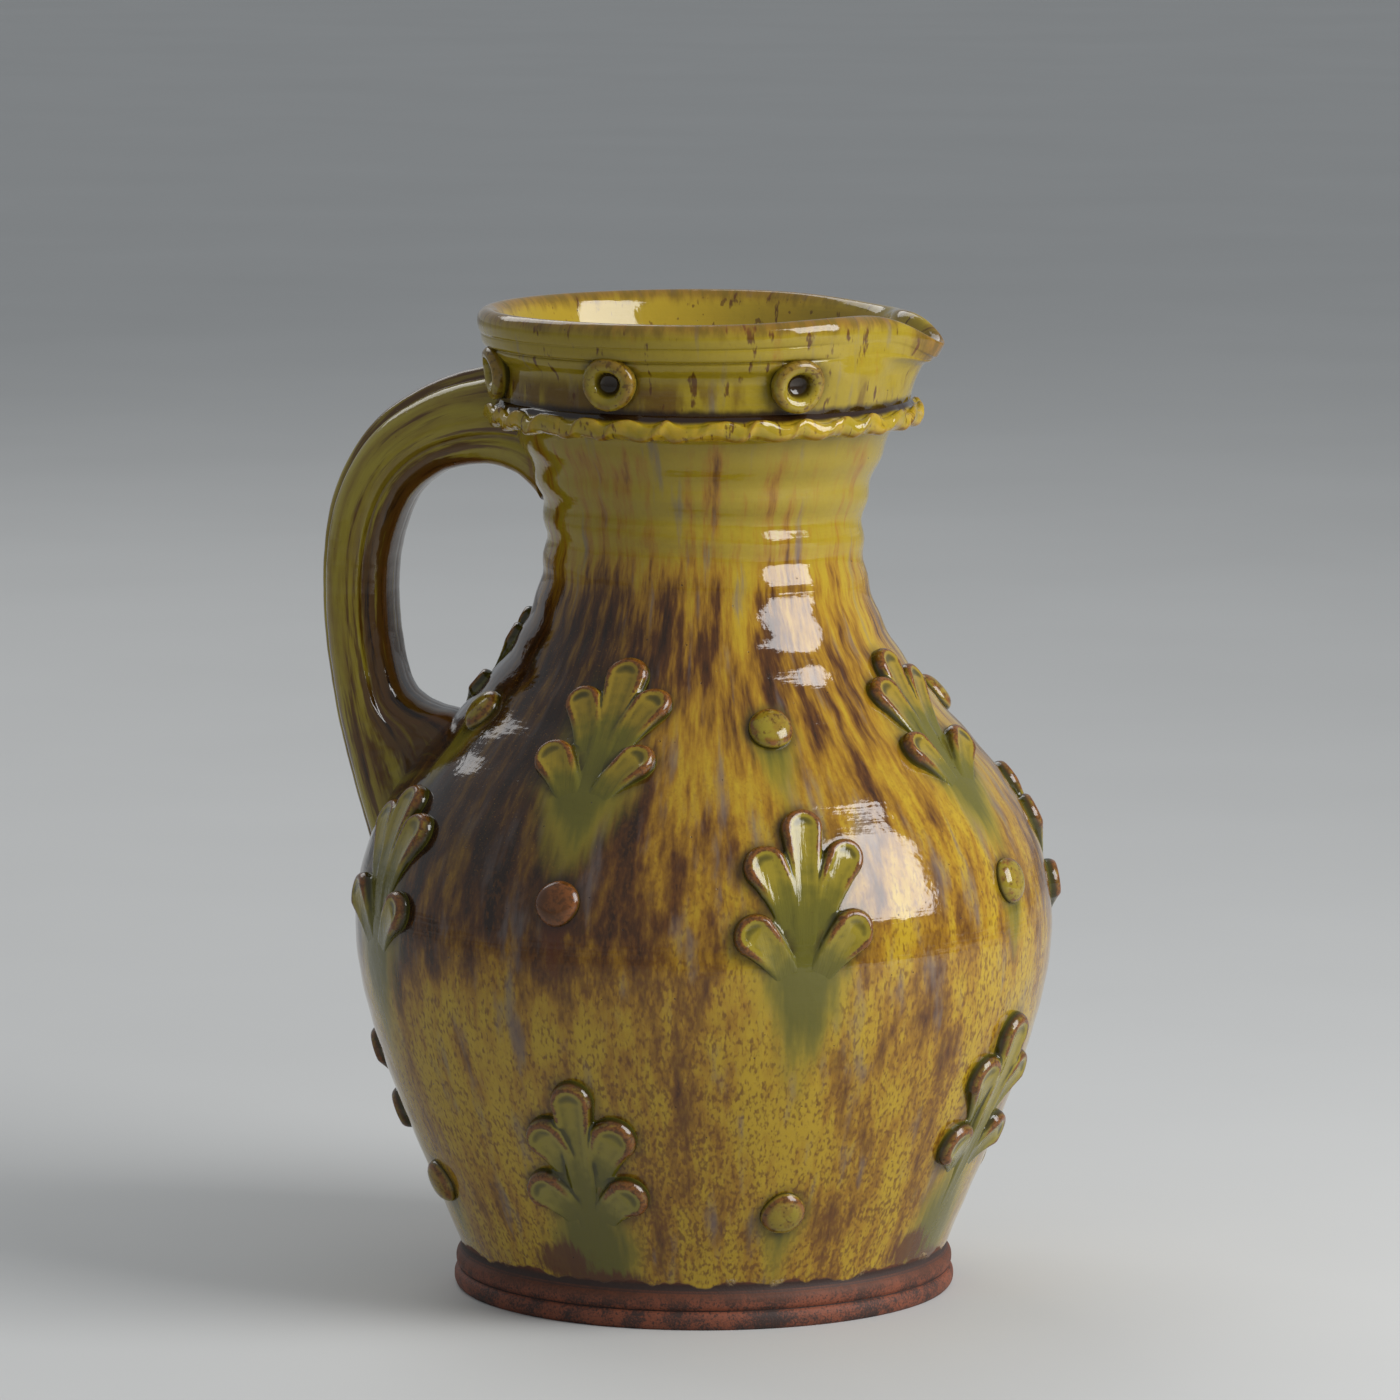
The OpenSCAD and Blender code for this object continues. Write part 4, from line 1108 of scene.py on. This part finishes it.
def make_frill():
    rows = [(COLLAR_R + out, z, wave, COLLAR_R - FRILL_SEAT) for out, z, wave in smooth_rows(FRILL_EDGE, 3)]
    return shape("pressed_frill", line_mesh("strip section", rows, ("wave", "seat")), frilling_tree(), {
        "Columns": FRILL_COLUMNS, "Rows": len(rows), "End angle": math.pi - math.asin(FRILL_OPENING / COLLAR_R),
        "Waves": FRILL_WAVES, "Wave": FRILL_WAVE * MM, "Material": frill_glaze()})


# Rounds of smoothing that find the proud edges of a leaf and of a button or ring
LEAF_WEAR = 9
LUMP_WEAR = 6


def make_ornament():
    """Leaves, buttons and rings, laid on the wall in columns, with the nodes that they stand for."""
    wall = new_object("outer line", line_mesh("outer line", OUTER))
    tree = luting_tree()
    leaf = leaf_glaze()
    ring = lump_glaze("ring glaze", BOSS_R, LEAF_LIGHT, NECK_YELLOW, cap=0.15, pit=0.52)
    button = lump_glaze("button glaze", BUTTON_R, LEAF_LIGHT, BUTTON_DEEP, cap=0.4)
    rusty = lump_glaze("worn button glaze", BUTTON_R, WORN_RED, BROWN, cap=0.6)
    made, leaves, buttons = [], [], []

    def lute(name, blank, angle, z, material, rounds, lean=0.0):
        return shape(name, blank, tree, {
            "Wall": wall, "Angle": angle, "Base": length_at(z) * MM, "Lean": lean, "Wear rounds": rounds,
            "Material": material})

    for number in range(1, COLUMNS // 2 + 1):
        even, odd = 2 * number - 2, 2 * number - 1
        in_loop = even == COLUMNS // 2
        stems = {"lower": LONG_STEM if number % 2 else SHORT_STEM}
        for row, column in (("upper", even), ("middle", odd), ("lower", even)):
            small = in_loop and row == "upper"
            z, share = (LOOP_LEAF_Z, LOOP_LEAF_SHARE) if small else (LEAF_Z[row], 1.0)
            angle = column_angle(column)
            rng = random.Random("%s leaf %d" % (row, number))
            blank = leaf_blank("leaf", rng, row, stems.get(row, 0), share)
            piece = lute("leaf_%s_%d" % (row, number), blank, angle, z, leaf, LEAF_WEAR, LEAF_LEAN)
            made.append((piece, "leaf_glaze", "leaf_sprig_%s_%d" % (row, number)))
            leaves.append((angle, z, share))
        for row, column in (("upper", odd), ("middle", even), ("lower", odd)):
            z = LOOP_BUTTON_Z if in_loop and row == "middle" else BUTTON_Z[row]
            angle = column_angle(column)
            worn = (row, number) == WORN_BUTTON
            rng = random.Random("%s button %d" % (row, number))
            blank = round_blank("button", rng, BUTTON_SECTION, BUTTON_R, BUTTON_H, uneven=0.05)
            piece = lute("button_%s_%d" % (row, number), blank, angle, z, rusty if worn else button, LUMP_WEAR)
            made.append((piece, "pellet_glaze", "pellet_%s_%d" % (row, number)))
            buttons.append((angle, z, worn))
    for number in range(1, BOSSES + 1):
        rng = random.Random("ring %d" % number)
        blank = round_blank("ring", rng, BOSS_SECTION, BOSS_R, BOSS_H, uneven=0.035)
        angle = 2 * math.pi / (BOSSES + 1) * number
        piece = lute("pressed_ring_%d" % number, blank, angle, BOSS_Z + rng.uniform(-0.2, 0.9), ring, LUMP_WEAR)
        made.append((piece, "boss_glaze", "ring_boss_%d" % number))
    bpy.data.objects.remove(wall)
    return made, leaves, buttons


pot = make_pot()
handle = make_handle()
frill = make_frill()
ornament, leaf_places, button_places = make_ornament()
note_runs(pot, leaf_places, button_places, [piece for piece, _, _ in ornament])
dress(pot, "wall_glaze", "jug_body")
dress(handle, "handle_glaze", "handle")
dress(frill, "frill_glaze", "frill_band")
for piece, slot, node in ornament:
    dress(piece, slot, node)


# Floor, light and camera

FLOOR_HALF = 14000
FLOOR_GREY = (0.52, 0.52, 0.51, 1)
FLOOR_PALE = (0.58, 0.58, 0.57, 1)
SKY = (0.9, 0.95, 1, 1)
SKY_STRENGTH = 0.38
JUG_MIDDLE = Vector((0, 0, 150 * MM))
VIEW_TURN = 13.0
VIEW_TILT = 7.6
VIEW_AWAY = 2450 * MM
VIEW_HEIGHT = 506.7 * MM
VIEW_ASIDE = 1.2 * MM
VIEW_LENS = 208.5


def make_floor():
    corners = [(x * FLOOR_HALF, y * FLOOR_HALF, 0) for x, y in ((-1, -1), (1, -1), (1, 1), (-1, 1))]
    mesh = new_mesh("floor", corners, faces=[(0, 1, 2, 3)])
    floor = new_object("floor", mesh)
    made, net = new_material("pale floor")
    point = net.add("ShaderNodeTexCoord", give="Object")
    cloud = net.noise(point, 0.25, 4)
    shader = made.node_tree.nodes["Principled BSDF"]
    net.feed(shader.inputs["Base Color"], net.blend(cloud, FLOOR_GREY, FLOOR_PALE))
    shader.inputs["Roughness"].default_value = 0.7
    mesh.materials.append(made)


def soft_light(name, turn, rise, distance, width, height, power):
    """A soft box that faces the jug's middle, turned to the right of the camera and raised over the floor."""
    lamp = bpy.data.lights.new(name, "AREA")
    lamp.shape = "RECTANGLE"
    lamp.size, lamp.size_y = width, height
    lamp.energy = power
    angle = math.radians(VIEW_TURN - 90 + turn)
    lift = math.radians(rise)
    away = Vector((math.cos(angle) * math.cos(lift), math.sin(angle) * math.cos(lift), math.sin(lift)))
    made = new_object(name, lamp)
    made.location = JUG_MIDDLE + away * distance
    made.rotation_euler = away.to_track_quat("Z", "Y").to_euler()


def make_camera():
    lens = bpy.data.cameras.new("camera")
    lens.sensor_width = 36
    lens.lens = VIEW_LENS
    camera = new_object("camera", lens)
    turn = math.radians(VIEW_TURN)
    aside = Vector((math.cos(turn), math.sin(turn), 0)) * VIEW_ASIDE
    camera.location = Vector((math.sin(turn) * VIEW_AWAY, -math.cos(turn) * VIEW_AWAY, VIEW_HEIGHT)) - aside
    camera.rotation_euler = (math.radians(90 - VIEW_TILT), 0, turn)
    bpy.context.scene.camera = camera


def make_world():
    world = bpy.data.worlds.new("studio")
    world.use_nodes = True
    back = world.node_tree.nodes["Background"]
    back.inputs["Color"].default_value = SKY
    back.inputs["Strength"].default_value = SKY_STRENGTH
    bpy.context.scene.world = world


make_floor()
make_world()
make_camera()
soft_light("window", turn=64, rise=28, distance=1.4, width=0.85, height=0.95, power=23)
soft_light("wall", turn=-152, rise=42, distance=2.4, width=1.6, height=1.2, power=14)
bpy.context.scene.view_settings.view_transform = "Standard"
